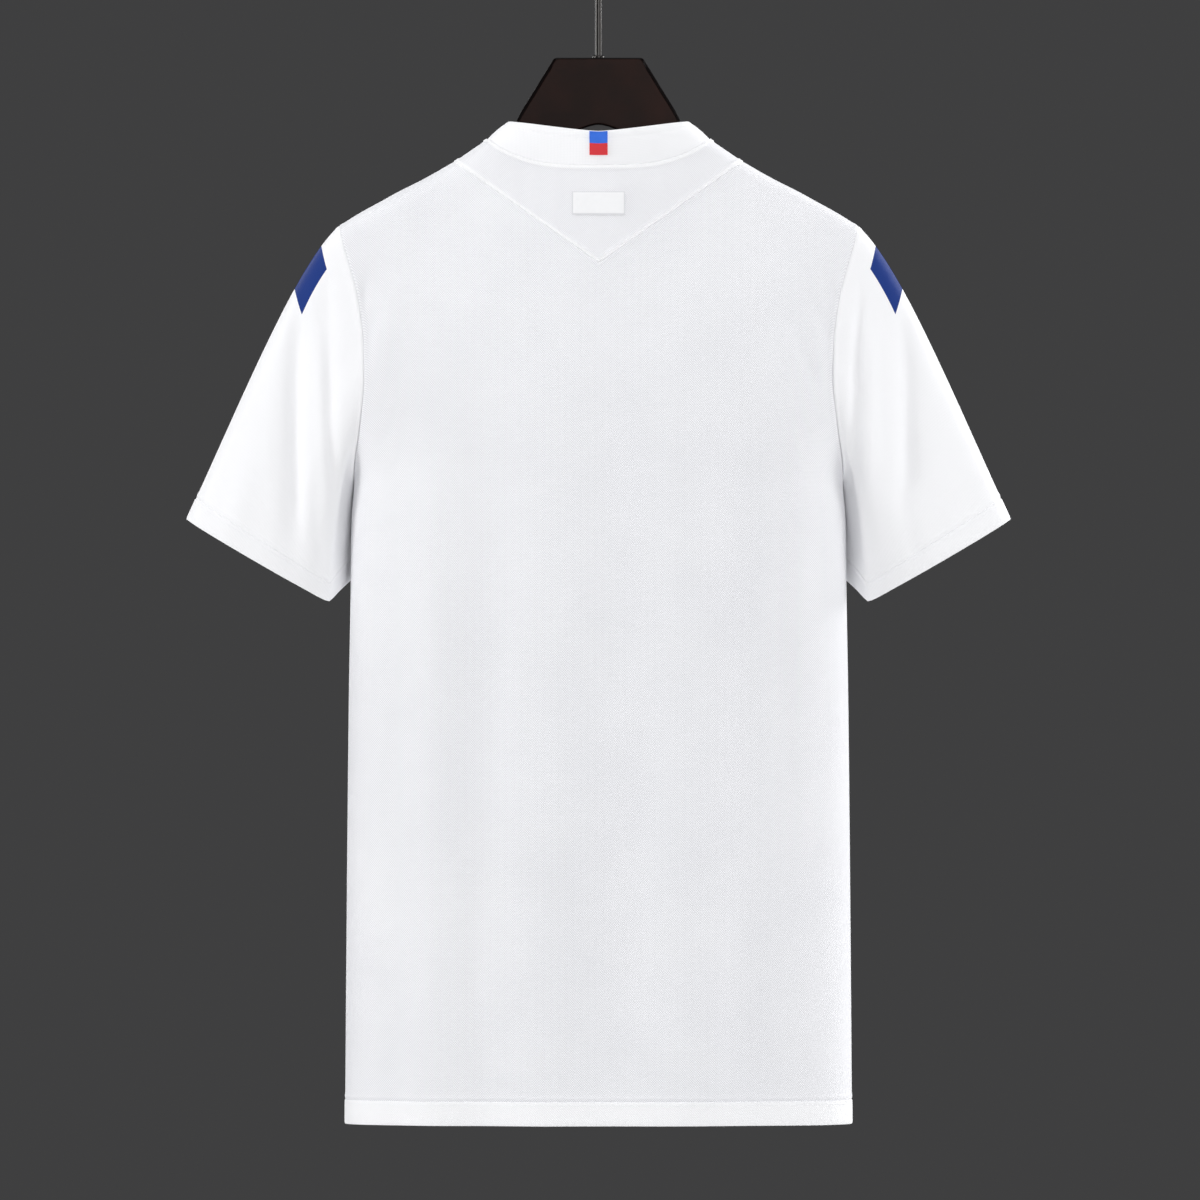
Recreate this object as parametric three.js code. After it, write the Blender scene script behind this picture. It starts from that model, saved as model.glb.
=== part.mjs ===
import * as THREE from "three";

// Football jersey on a wooden hanger, in millimetres.
// +Z is up, +Y is the jersey's back and +X is the wearer's left.
// The origin is the top of the hook's inside, where a rail carries it.

// Walls and seams
const CLOTH = 1.5;
const COLLAR_WALL = 2.2;
const SEAM_GAP = 0.3;
const SEAM_SHIFT = 0.22;
const TRIM_WALL = 0.8;
const TRIM_LIFT = 0.4;

// Heights and half widths of the jersey's outline
const HEM_Z = -890.75;
const HEM_BAND = 18;
const CUFF_BAND = 14;
const BAND_RAISE = 0.4;
const BAND_STEP = 1;
const ARMHOLE_TOP = { x: 194.6, z: -218 };
const ARMPIT_Z = -408.5;
const YOKE_POINT_Z = -246.5;
const YOKE_SIDE_X = 108.5;
const NECK = { x: 83, z: -152.8, backZ: -172.7, frontZ: -235 };
const COLLAR_TOP = { x: 66.4, z: -139.25, backZ: -147.5, frontZ: -212 };
const COLLAR_TOP_DEPTH = { back: 27, front: 46 };

// Outline of the shoulders, seen from the back
const SHOULDER = [
  { x: 0, z: -112.6 },
  { x: 8, z: -112.6 },
  { x: 45, z: -130.5 },
  { x: 83, z: -152.8 },
  { x: 96.4, z: -161.8 },
  { x: 104, z: -167 },
  { x: 119, z: -176 },
  { x: 134, z: -184.25 },
  { x: 149, z: -191.75 },
  { x: 164, z: -200 },
  { x: 179, z: -208.25 },
  { x: 194.6, z: -218 },
];

// Half width of the body: real below the armpit, and above it where the body's roundness would end
const GIRTH = [
  { z: -890.75, half: 190.3 },
  { z: -723.5, half: 189 },
  { z: -573.5, half: 187.5 },
  { z: -506, half: 186.4 },
  { z: -440, half: 185.5 },
  { z: -408.5, half: 183.5 },
  { z: -380, half: 192 },
  { z: -340, half: 212 },
  { z: -300, half: 235 },
  { z: -260, half: 262 },
  { z: -218, half: 300 },
];

// Armhole seam
const ARMHOLE = [
  { z: -408.5, x: 183.5 },
  { z: -393.5, x: 182.4 },
  { z: -371, x: 179 },
  { z: -333.5, x: 175.5 },
  { z: -306.5, x: 176 },
  { z: -271, x: 180.7 },
  { z: -247, x: 187 },
  { z: -231, x: 191.7 },
  { z: -218, x: 194.6 },
];

// How far the back and the front stand out, by the drop below the shoulder line
const STAND_OUT = [
  { drop: 0, back: 0, front: 0 },
  { drop: 4, back: 9, front: 9 },
  { drop: 10, back: 14, front: 14 },
  { drop: 20, back: 18, front: 18.5 },
  { drop: 45, back: 25, front: 26 },
  { drop: 90, back: 38, front: 40 },
  { drop: 150, back: 52, front: 56 },
  { drop: 230, back: 63, front: 69 },
  { drop: 330, back: 69, front: 76 },
  { drop: 480, back: 70, front: 76 },
  { drop: 750, back: 66, front: 70 },
];
const ROUNDNESS = 0.375;

// Soft folds of the body: a trough has a negative depth
const BODY_FOLDS = {
  back: [
    { topX: 147, lowX: 153, topZ: -330, lowZ: -900, width: 17, depth: -2.4 },
    { topX: 84, lowX: 86, topZ: -360, lowZ: -900, width: 22, depth: -3.4 },
    { topX: -8, lowX: -9, topZ: -300, lowZ: -900, width: 24, depth: -2.6 },
    { topX: -107, lowX: -115, topZ: -290, lowZ: -900, width: 21, depth: -3 },
    { topX: 124, lowX: 127, topZ: -400, lowZ: -900, width: 15, depth: 1.6 },
    { topX: 40, lowX: 40, topZ: -330, lowZ: -900, width: 22, depth: 2 },
    { topX: -60, lowX: -62, topZ: -330, lowZ: -900, width: 22, depth: 2.2 },
    { topX: -150, lowX: -168, topZ: -330, lowZ: -900, width: 16, depth: 2.4 },
    { topX: 172, lowX: 175, topZ: -255, lowZ: -320, width: 7, depth: -2 },
    { topX: -170, lowX: -178, topZ: -255, lowZ: -350, width: 8, depth: -2.2 },
  ],
  front: [
    { topX: -138, lowX: -148, topZ: -320, lowZ: -900, width: 19, depth: -2.8 },
    { topX: -66, lowX: -74, topZ: -380, lowZ: -900, width: 24, depth: -3.2 },
    { topX: 22, lowX: 26, topZ: -330, lowZ: -900, width: 24, depth: -2.4 },
    { topX: 112, lowX: 104, topZ: -310, lowZ: -900, width: 20, depth: -3.2 },
    { topX: -104, lowX: -110, topZ: -400, lowZ: -900, width: 16, depth: 1.8 },
    { topX: -22, lowX: -24, topZ: -380, lowZ: -900, width: 22, depth: 2 },
    { topX: 68, lowX: 66, topZ: -340, lowZ: -900, width: 20, depth: 2.2 },
    { topX: 152, lowX: 158, topZ: -350, lowZ: -900, width: 15, depth: 2.2 },
    { topX: 168, lowX: 176, topZ: -255, lowZ: -330, width: 8, depth: -2.2 },
    { topX: -166, lowX: -175, topZ: -255, lowZ: -345, width: 8, depth: -2 },
  ],
};
const FOLD_FADE = 60;

// Soft folds of the sleeves, by side of the cloth; x is the distance from the middle of the jersey
const SLEEVE_FOLDS = {
  left: {
    back: [
      { topX: 225, lowX: 229, topZ: -272, lowZ: -455, width: 9, depth: -4.2 },
      { topX: 204, lowX: 199, topZ: -250, lowZ: -415, width: 6, depth: -2.6 },
      { topX: 252, lowX: 276, topZ: -330, lowZ: -450, width: 11, depth: 2 },
    ],
    front: [
      { topX: 222, lowX: 240, topZ: -280, lowZ: -470, width: 10, depth: -4 },
      { topX: 205, lowX: 200, topZ: -255, lowZ: -420, width: 7, depth: -2.6 },
    ],
  },
  right: {
    back: [
      { topX: 228, lowX: 232, topZ: -275, lowZ: -425, width: 9, depth: -3.8 },
      { topX: 199, lowX: 193, topZ: -268, lowZ: -415, width: 6, depth: -2.6 },
    ],
    front: [
      { topX: 230, lowX: 246, topZ: -290, lowZ: -470, width: 11, depth: -4.2 },
      { topX: 202, lowX: 206, topZ: -280, lowZ: -425, width: 8, depth: 2.4 },
    ],
  },
};

// The cuff's edge, from its outer corner (0) to its inner fold (1), on either side of the cloth
const CUFF = {
  back: [
    { along: 0, x: 309.2, y: -6, z: -437.9 },
    { along: 0.04, x: 304, y: 4, z: -441.5 },
    { along: 0.12, x: 292, y: 10, z: -449 },
    { along: 0.28, x: 271, y: 16, z: -461.5 },
    { along: 0.5, x: 246, y: 19, z: -476 },
    { along: 0.72, x: 221, y: 15, z: -490 },
    { along: 0.87, x: 202.5, y: 6, z: -499.4 },
    { along: 0.94, x: 194, y: -7, z: -491.5 },
    { along: 1, x: 186.5, y: -22, z: -484 },
  ],
  front: [
    { along: 0, x: 309.2, y: -6, z: -437.9 },
    { along: 0.04, x: 303.5, y: -16, z: -441.5 },
    { along: 0.12, x: 291, y: -24, z: -449 },
    { along: 0.28, x: 271, y: -33, z: -461 },
    { along: 0.5, x: 247, y: -40, z: -475 },
    { along: 0.72, x: 223, y: -45, z: -488 },
    { along: 0.87, x: 207, y: -46, z: -495 },
    { along: 0.94, x: 195, y: -39, z: -490.5 },
    { along: 1, x: 186.5, y: -22, z: -484 },
  ],
};
// Direction and pull of the sleeve's cloth as it leaves the armhole and as it reaches the cuff
const SLEEVE_LEAVES = { outer: [95, 0, -84], inner: [30, -4, -30] };
const SLEEVE_ENDS = { outer: [128, -2, -277], inner: [-12, -20, -75] };

// Grids: column places as parts of the half width, and row places as drops below the top edge
const SHOULDER_PARTS = [0.64, 0.71, 0.78, 0.845, 0.9, 0.945, 0.976, 0.992, 1];
const NECK_PLACES = [0, 0.16, 0.32, 0.48, 0.64, 0.78, 0.88, 0.955, 1];
const NECK_STEPS = NECK_PLACES.length - 1;
const ARMHOLE_DROPS = [0, 2.5, 6, 11, 18, 28, 42, 60, 82, 108, 138, 168];
const LOWER_ROWS = 12;
const YOKE_ROWS = [0, 0.14, 0.3, 0.48, 0.66, 0.83, 1];
const SLEEVE_ROWS = [0, 0.06, 0.14, 0.25, 0.38, 0.52, 0.66, 0.8, 0.92];
const COLLAR_ROWS = [0, 0.3, 0.62, 0.9, 1];

// Patch below the collar and tab at the back of the collar
const PATCH = { half: 19.8, topZ: -193.2, lowZ: -210.9, columns: 6, rows: 2 };
const TAB = { half: 6.75, top: 0.96, low: 0.27, rows: 3 };

// Hanger and hook
const HANGER_TOP = [
  { x: 0, z: -92 },
  { x: 31, z: -92 },
  { x: 33.6, z: -92.9 },
  { x: 35.2, z: -95.4 },
  { x: 48, z: -116.2 },
  { x: 61, z: -138.2 },
  { x: 62.9, z: -143.5 },
  { x: 64.6, z: -150.5 },
  { x: 68.5, z: -157.5 },
  { x: 75.5, z: -161.8 },
  { x: 86, z: -164.3 },
  { x: 98, z: -167.4 },
  { x: 106, z: -171.6 },
  { x: 114, z: -175.6 },
];
const HANGER_END = [
  { x: 181, size: 1 },
  { x: 185, size: 0.92 },
  { x: 187.6, size: 0.74 },
  { x: 189, size: 0.5 },
];
const HANGER_APEX = { z: -142.3, round: 9, slope: 0.5 };
const HANGER_HALF = { neck: 6.5, arm: 7.2, growsFrom: 62, growsTo: 92 };
const HANGER_ROUND = { neck: 2.6, arm: 7.2 };
const HANGER_UNDER_CLOTH = 2.2;
const HANGER_STEP = 11.2;
const HOOK = { wire: 5, inside: 18, sides: 8, tip: -12, turn: 250, steps: 46 };
const FERRULE = { bore: 2.85, radius: 4.4, height: 1.6, sides: 20 };

// Colours from the photograph, as the light shows them
const WHITE_MESH = { color: 0xeceef5, roughness: 0.85, metalness: 0 };
const WHITE_SMOOTH = { color: 0xf2f3f8, roughness: 0.8, metalness: 0 };
const WHITE_PRINT = { color: 0xf7f8fb, roughness: 0.6, metalness: 0 };
const TAB_CLOTH = { color: 0x2a66c8, roughness: 0.7, metalness: 0 };
const DARK_WOOD = { color: 0x2a1a17, roughness: 0.35, metalness: 0 };
const CHROME = { color: 0xc9ccd2, roughness: 0.18, metalness: 1 };

const jersey = new THREE.Group();

function addMesh(name, geometry, look) {
  const mesh = new THREE.Mesh(geometry, new THREE.MeshStandardMaterial(look));
  mesh.name = name;
  jersey.add(mesh);
}

// A smooth curve through a table's rows, which never swings past them
function through(rows, from, to) {
  const at = rows.map((row) => row[from]);
  const value = rows.map((row) => row[to]);
  const rise = at.slice(1).map((x, i) => (value[i + 1] - value[i]) / (x - at[i]));
  const slope = value.map((_, i) => {
    if (i === 0) return rise[0];
    if (i === rise.length) return rise[i - 1];
    const pair = rise[i - 1] * rise[i];
    return pair <= 0 ? 0 : (2 * pair) / (rise[i - 1] + rise[i]);
  });
  return (x) => {
    const inside = Math.min(Math.max(x, at[0]), at[at.length - 1]);
    let i = 0;
    while (i < rise.length - 1 && inside > at[i + 1]) i += 1;
    const long = at[i + 1] - at[i];
    const t = (inside - at[i]) / long;
    return hermite(value[i], slope[i] * long, value[i + 1], slope[i + 1] * long, t);
  };
}

function hermite(start, leave, end, arrive, t) {
  const t2 = t * t;
  const t3 = t2 * t;
  return (
    start * (2 * t3 - 3 * t2 + 1) +
    leave * (t3 - 2 * t2 + t) +
    end * (3 * t2 - 2 * t3) +
    arrive * (t3 - t2)
  );
}

const mix = (a, b, t) => a + (b - a) * t;
const ease = (t) => {
  const inside = Math.min(Math.max(t, 0), 1);
  return inside * inside * (3 - 2 * inside);
};

const shoulderAt = through(SHOULDER, "x", "z");
const shoulderZ = (x) => shoulderAt(Math.abs(x));
const girth = through(GIRTH, "z", "half");
const armholeX = through(ARMHOLE, "z", "x");
const standOut = {
  back: through(STAND_OUT, "drop", "back"),
  front: through(STAND_OUT, "drop", "front"),
};

// Height of the folds over the smooth form at a place of the cloth
function foldHeight(folds, x, z) {
  let height = 0;
  for (const fold of folds) {
    const down = (fold.topZ - z) / (fold.topZ - fold.lowZ);
    const reach = ease((down + 0.15) / 0.35) * (fold.lowZ < HEM_Z ? 1 : ease((1.15 - down) / 0.35));
    const off = (x - mix(fold.topX, fold.lowX, down)) / fold.width;
    height += fold.depth * reach * Math.exp(-off * off);
  }
  return height;
}

// A point of the body's outer surface on the back (+Y) or the front (-Y)
function bodyPoint(side, x, z) {
  const drop = Math.max(0, shoulderZ(x) - z);
  const across = Math.min(1, Math.abs(x) / girth(z));
  const round = (1 - across * across) ** ROUNDNESS;
  const folds = foldHeight(BODY_FOLDS[side], x, z) * round * ease(drop / FOLD_FADE);
  const out = SEAM_GAP / 2 + standOut[side](drop) * round + folds;
  return new THREE.Vector3(x, side === "back" ? out : -out, z);
}

// Direction out of the body's surface; along seams in the plane Y = 0 it stays in that plane
function bodyNormal(side, x, z) {
  const step = x > 0 ? -0.5 : 0.5;
  const here = bodyPoint(side, x, z);
  const across = bodyPoint(side, x + step, z).sub(here);
  const down = bodyPoint(side, x, z - 0.5).sub(here);
  const out = across.cross(down);
  if (Math.abs(here.y) < SEAM_GAP) {
    out.y = 0;
    return out.multiplyScalar(Math.sign(out.x * x)).normalize();
  }
  return out.multiplyScalar(Math.sign(out.y * here.y)).normalize();
}

const bodyNormals = (side, grid) =>
  grid.map((row) => row.map((point) => bodyNormal(side, point.x, point.z)));

// Lines that divide the panels, by the distance from the middle
const yokeSeamZ = (x) =>
  mix(YOKE_POINT_Z, shoulderZ(YOKE_SIDE_X), Math.abs(x) / YOKE_SIDE_X);
const neckBackZ = (x) => NECK.backZ + (NECK.z - NECK.backZ) * (Math.abs(x) / NECK.x) ** 3.2;
const neckFrontZ = (x) =>
  NECK.z + (NECK.frontZ - NECK.z) * Math.sqrt(Math.max(0, 1 - (x / NECK.x) ** 2));

const edgeDrops = [...ARMHOLE_DROPS, ARMHOLE_TOP.z - ARMPIT_Z];
const hemDrop = ARMHOLE_TOP.z - HEM_Z;
const bandDrops = [hemDrop - HEM_BAND - BAND_STEP, hemDrop - HEM_BAND, hemDrop];
const panelDrops = [...edgeDrops];
for (let i = 1; i < LOWER_ROWS; i += 1) {
  panelDrops.push(mix(edgeDrops[edgeDrops.length - 1], bandDrops[0], i / LOWER_ROWS));
}
panelDrops.push(...bandDrops);

// Column places from the middle to the side; the first ones end where the top edge has its corner
function columnParts(cornerX, spread) {
  const corner = cornerX / ARMHOLE_TOP.x;
  const parts = [];
  for (let i = 0; i < NECK_STEPS; i += 1) parts.push(corner * spread(NECK_PLACES[i]));
  const first = SHOULDER_PARTS[0];
  const kept = SHOULDER_PARTS.map((part) => 1 - ((1 - part) * (1 - corner)) / (1 - first) * 0.87);
  return [...parts, corner, ...kept];
}

// A panel's edge at the side, at a height
const sideX = (z) => (z > ARMPIT_Z ? armholeX(z) : girth(z));

// Rows hang parallel to the top edge at first and are level at the hem
function panelPoint(side, part, drop, topZ) {
  const higher = topZ - ARMHOLE_TOP.z;
  const z = topZ - drop - higher * ease(drop / (hemDrop * 0.55));
  return bodyPoint(side, part * sideX(ARMHOLE_TOP.z - drop), z);
}

function panelGrid(side, parts, topEdgeZ) {
  const across = [...parts.slice(1).map((part) => -part).reverse(), ...parts];
  return panelDrops.map((drop) =>
    across.map((part) => {
      const topX = part * ARMHOLE_TOP.x;
      return panelPoint(side, part, drop, topEdgeZ(topX));
    })
  );
}

// Direction out of a grid at each of its points: away from the middle of a closed grid, or to +Y
function gridNormals(grid, closed) {
  const rows = grid.length;
  const columns = grid[0].length;
  const normals = grid.map((row, j) =>
    row.map((_, i) => {
      const before = closed ? row[(i + columns - 1) % columns] : row[Math.max(i - 1, 0)];
      const after = closed ? row[(i + 1) % columns] : row[Math.min(i + 1, columns - 1)];
      const across = after.clone().sub(before);
      const along = grid[Math.min(j + 1, rows - 1)][i].clone().sub(grid[Math.max(j - 1, 0)][i]);
      return across.cross(along).normalize();
    })
  );
  const half = grid[0].length / 2;
  const outward = grid[1].reduce((sum, point, i) => {
    const opposite = grid[1][(i + half) % columns];
    return sum + (closed ? point.clone().sub(opposite).dot(normals[1][i]) : normals[1][i].y);
  }, 0);
  normals.forEach((row) => row.forEach((normal) => normal.multiplyScalar(Math.sign(outward))));
  return normals;
}

// A closed wall: the grid's outer points, the same points moved in, and the rims between them
function clothWall(grid, normals, wall, { closed = false, raise = () => 0 } = {}) {
  const rows = grid.length;
  const columns = grid[0].length;
  const positions = [];
  const put = (depth) =>
    grid.forEach((row, j) =>
      row.forEach((point, i) => {
        positions.push(...point.clone().addScaledVector(normals[j][i], depth(j)).toArray());
      })
    );
  put((j) => raise(j));
  put(() => -wall);
  const index = [];
  const inner = rows * columns;
  const quad = (a, b, c, d) => index.push(a, b, c, a, c, d);
  const lastColumn = closed ? columns : columns - 1;
  for (let j = 0; j < rows - 1; j += 1) {
    for (let i = 0; i < lastColumn; i += 1) {
      const next = (i + 1) % columns;
      const [a, b] = [j * columns + i, j * columns + next];
      const [d, c] = [a + columns, b + columns];
      quad(a, b, c, d);
      quad(inner + b, inner + a, inner + d, inner + c);
    }
  }
  for (let i = 0; i < lastColumn; i += 1) {
    const next = (i + 1) % columns;
    const end = (rows - 1) * columns;
    quad(inner + i, inner + next, next, i);
    quad(end + i, end + next, inner + end + next, inner + end + i);
  }
  if (!closed) {
    for (let j = 0; j < rows - 1; j += 1) {
      const start = j * columns;
      const end = start + columns - 1;
      quad(start + columns, inner + start + columns, inner + start, start);
      quad(end, inner + end, inner + end + columns, end + columns);
    }
  }
  return solid(positions, index);
}

// A geometry from points and triangles, with its faces turned outward
function solid(positions, index) {
  let volume = 0;
  const corner = (k) => new THREE.Vector3().fromArray(positions, index[k] * 3);
  for (let k = 0; k < index.length; k += 3) {
    volume += corner(k).dot(corner(k + 1).cross(corner(k + 2)));
  }
  if (volume < 0) index.reverse();
  const geometry = new THREE.BufferGeometry();
  geometry.setAttribute("position", new THREE.Float32BufferAttribute(positions, 3));
  geometry.setIndex(index);
  geometry.computeVertexNormals();
  return geometry;
}

// Moves a row back along the cloth, to leave the seam's gap; kept(i) says where it stays
function withSeam(grid, row, next, kept = () => false) {
  grid[row] = grid[row].map((point, i) => {
    if (kept(i)) return point;
    const away = grid[next][i].clone().sub(point).normalize();
    return point.clone().addScaledVector(away, SEAM_SHIFT);
  });
  return grid;
}

const bandRaise = (count) => (j) => (j >= count - 2 ? BAND_RAISE : 0);
const evenly = (t) => t;
const roundly = (t) => Math.sin((t * Math.PI) / 2);

// The back panel, up to the yoke's pointed seam and the shoulders
function addBackPanel() {
  const parts = columnParts(YOKE_SIDE_X, evenly);
  const topEdge = (x) => (Math.abs(x) < YOKE_SIDE_X ? yokeSeamZ(x) : shoulderZ(x));
  const grid = panelGrid("back", parts, topEdge);
  const middle = parts.length - 1;
  withSeam(grid, 0, 1, (i) => Math.abs(i - middle) > NECK_STEPS);
  const band = { raise: bandRaise(grid.length) };
  addMesh("back_panel", clothWall(grid, bodyNormals("back", grid), CLOTH, band), WHITE_MESH);
}

// The front panel, up to the round neckline and the shoulders
function addFrontPanel() {
  const parts = columnParts(NECK.x, roundly);
  const topEdge = (x) => (Math.abs(x) < NECK.x - 0.001 ? neckFrontZ(x) : shoulderZ(x));
  const grid = panelGrid("front", parts, topEdge);
  const middle = parts.length - 1;
  withSeam(grid, 0, 1, (i) => Math.abs(i - middle) > NECK_STEPS);
  const band = { raise: bandRaise(grid.length) };
  addMesh("front_panel", clothWall(grid, bodyNormals("front", grid), CLOTH, band), WHITE_MESH);
}

// The yoke: from the collar's seam (row 0) down to the pointed seam
function yokeGrid() {
  const grid = YOKE_ROWS.map((down) => {
    const row = [];
    for (let i = -NECK_STEPS; i <= NECK_STEPS; i += 1) {
      const part = Math.sign(i) * NECK_PLACES[Math.abs(i)];
      const neckX = NECK.x * roundly(part);
      const seamX = YOKE_SIDE_X * part;
      const x = mix(neckX, seamX, down);
      const z = mix(neckBackZ(neckX), yokeSeamZ(seamX), down);
      const onShoulder = Math.abs(i) === NECK_STEPS;
      row.push(bodyPoint("back", x, onShoulder ? shoulderZ(x) : z));
    }
    return row;
  });
  return grid;
}

function addYoke() {
  const grid = yokeGrid();
  withSeam(grid, 0, 1);
  withSeam(grid, grid.length - 1, grid.length - 2);
  addMesh("back_yoke", clothWall(grid, bodyNormals("back", grid), CLOTH), WHITE_SMOOTH);
}

// The collar's seam and top edge, at an angle from the middle of the back round to the front
function collarLine(angle) {
  const back = Math.cos(angle) >= -1e-9;
  const swing = Math.sin(angle);
  const depth = Math.abs(Math.cos(angle)) ** 0.85;
  const seamX = NECK.x * swing;
  const seamZ = back ? neckBackZ(seamX) : neckFrontZ(seamX);
  const seam = bodyPoint(back ? "back" : "front", seamX, Math.min(seamZ, shoulderZ(seamX)));
  if (Math.abs(Math.cos(angle)) < 1e-6) seam.y = 0;
  const topX = COLLAR_TOP.x * swing;
  const topZ = back
    ? mix(COLLAR_TOP.backZ, COLLAR_TOP.z, Math.abs(swing) ** 1.3)
    : mix(COLLAR_TOP.z, COLLAR_TOP.frontZ, depth);
  const topY = back ? COLLAR_TOP_DEPTH.back * depth : -COLLAR_TOP_DEPTH.front * depth;
  return { seam, top: new THREE.Vector3(topX, topY, topZ) };
}

function collarGrid() {
  const lines = [];
  for (let quarter = 0; quarter < 4; quarter += 1) {
    for (let i = 0; i < NECK_STEPS; i += 1) {
      const place = quarter % 2 === 0 ? NECK_PLACES[i] : 1 - NECK_PLACES[NECK_STEPS - i];
      lines.push(collarLine(((quarter + place) * Math.PI) / 2));
    }
  }
  return COLLAR_ROWS.map((up) => lines.map(({ seam, top }) => seam.clone().lerp(top, up)));
}

function addCollar() {
  const grid = withSeam(collarGrid(), 0, 1);
  const normals = gridNormals(grid, true);
  normals[0] = grid[0].map((point, i) => {
    const onShoulder = Math.abs(point.y) < SEAM_GAP;
    return onShoulder ? normals[0][i] : bodyNormal(point.y > 0 ? "back" : "front", point.x, point.z);
  });
  addMesh("collar_band", clothWall(grid, normals, COLLAR_WALL, { closed: true }), WHITE_SMOOTH);
}

// One sleeve as a tube of columns round the arm and rows from the armhole to the cuff
function sleeveGrid(side) {
  const sign = side === "left" ? 1 : -1;
  const last = edgeDrops.length - 1;
  const reach = edgeDrops[last];
  const columns = [];
  for (let k = 0; k <= last; k += 1) columns.push({ cloth: "back", k });
  for (let k = last - 1; k > 0; k -= 1) columns.push({ cloth: "front", k });
  const cuffs = {};
  for (const cloth of ["back", "front"]) {
    cuffs[cloth] = {};
    for (const axis of ["x", "y", "z"]) cuffs[cloth][axis] = through(CUFF[cloth], "along", axis);
  }
  const lines = columns.map(({ cloth, k }) => {
    const along = edgeDrops[k] / reach;
    const edge = panelPoint(cloth, 1, edgeDrops[k], ARMHOLE_TOP.z);
    const inside = panelPoint(cloth, 0.992, edgeDrops[k], shoulderZ(0.992 * ARMHOLE_TOP.x));
    const away = edge.clone().sub(inside).normalize();
    if (k === last) away.set(1, 0, -0.3).normalize();
    const start = edge.clone().addScaledVector(away, SEAM_GAP + 0.25 * along);
    if (k === 0 || k === last) start.y = 0;
    const end = new THREE.Vector3(
      cuffs[cloth].x(along),
      cuffs[cloth].y(along),
      cuffs[cloth].z(along)
    );
    const leave = SLEEVE_LEAVES.outer.map((v, i) => mix(v, SLEEVE_LEAVES.inner[i], along));
    const arrive = SLEEVE_ENDS.outer.map((v, i) => mix(v, SLEEVE_ENDS.inner[i], along));
    return { cloth, along, start, end, leave, arrive };
  });
  const rowPlaces = (long) => {
    const before = 1 - (CUFF_BAND + BAND_STEP) / long;
    return [...SLEEVE_ROWS.map((t) => t * before / 0.92 * 0.999), 1 - CUFF_BAND / long, 1];
  };
  const count = SLEEVE_ROWS.length + 2;
  const grid = [];
  for (let j = 0; j < count; j += 1) {
    grid.push(
      lines.map(({ cloth, along, start, end, leave, arrive }) => {
        const t = rowPlaces(start.distanceTo(end))[j];
        const from = start.toArray();
        const to = end.toArray();
        const [x, y, z] = from.map((v, i) => hermite(v, leave[i], to[i], arrive[i], t));
        const soft = Math.sqrt(4 * along * (1 - along)) * ease(t / 0.2);
        const fold = foldHeight(SLEEVE_FOLDS[side][cloth], x, z) * soft;
        return new THREE.Vector3(sign * x, y + (cloth === "back" ? fold : -fold), z);
      })
    );
  }
  return grid;
}

function addSleeve(side) {
  const grid = sleeveGrid(side);
  const normals = gridNormals(grid, true);
  const band = { closed: true, raise: bandRaise(grid.length) };
  addMesh(`sleeve_${side}`, clothWall(grid, normals, CLOTH, band), WHITE_SMOOTH);
}

// The patch lies on the yoke, moved out from its surface
function addPatch() {
  const grid = [];
  for (let j = 0; j <= PATCH.rows; j += 1) {
    const z = mix(PATCH.topZ, PATCH.lowZ, j / PATCH.rows);
    const row = [];
    for (let i = 0; i <= PATCH.columns; i += 1) {
      const x = mix(-PATCH.half, PATCH.half, i / PATCH.columns);
      row.push(bodyPoint("back", x, z));
    }
    grid.push(row);
  }
  addMesh("back_patch", trimWall(grid), WHITE_PRINT);
}

// The tab lies on the middle of the collar's back
function addTab() {
  const [middle, side] = [collarLine(0), collarLine((NECK_PLACES[1] * Math.PI) / 2)];
  const grid = [];
  for (let j = 0; j <= TAB.rows; j += 1) {
    const up = mix(TAB.top, TAB.low, j / TAB.rows);
    const centre = middle.seam.clone().lerp(middle.top, up);
    const next = side.seam.clone().lerp(side.top, up);
    const part = TAB.half / next.x;
    const right = centre.clone().lerp(next, part);
    const left = right.clone();
    left.x = -right.x;
    grid.push([left, centre, right]);
  }
  addMesh("neck_tab", trimWall(grid), TAB_CLOTH);
}

// A thin piece on the back's cloth: a grid of the cloth's points, moved out
function trimWall(grid) {
  const normals = gridNormals(grid, false);
  const lift = TRIM_LIFT + TRIM_WALL;
  const lifted = grid.map((row, j) =>
    row.map((point, i) => point.clone().addScaledVector(normals[j][i], lift))
  );
  return clothWall(lifted, normals, TRIM_WALL);
}

// The hanger: rounded sections along X, a flat neck and two arms that slope with the shoulders
function hangerSection(x) {
  const away = Math.abs(x);
  const neckTop = through(HANGER_TOP, "x", "z");
  const lastTop = HANGER_TOP[HANGER_TOP.length - 1].x;
  const top = away < lastTop ? neckTop(away) : shoulderZ(away) - HANGER_UNDER_CLOTH;
  const bend = Math.hypot(away, HANGER_APEX.round) - HANGER_APEX.round;
  const low = HANGER_APEX.z - HANGER_APEX.slope * bend;
  const grown = ease((away - HANGER_HALF.growsFrom) / (HANGER_HALF.growsTo - HANGER_HALF.growsFrom));
  const size = through(HANGER_END, "x", "size")(away);
  const half = mix(HANGER_HALF.neck, HANGER_HALF.arm, grown) * size;
  const round = mix(HANGER_ROUND.neck, HANGER_ROUND.arm, grown) * size;
  const middle = (top + low) / 2;
  const tall = ((top - low) / 2) * size;
  const ring = [];
  for (let quarter = 0; quarter < 4; quarter += 1) {
    const [signY, signZ] = [[1, 1], [-1, 1], [-1, -1], [1, -1]][quarter];
    const turns = quarter % 2 === 0 ? [0, 1, 2] : [2, 1, 0];
    for (const step of turns) {
      const angle = (step * Math.PI) / 4;
      const y = signY * (half - round * (1 - Math.cos(angle)));
      const z = middle + signZ * (tall - round * (1 - Math.sin(angle)));
      ring.push(new THREE.Vector3(x, y, z));
    }
  }
  return ring;
}

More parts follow.
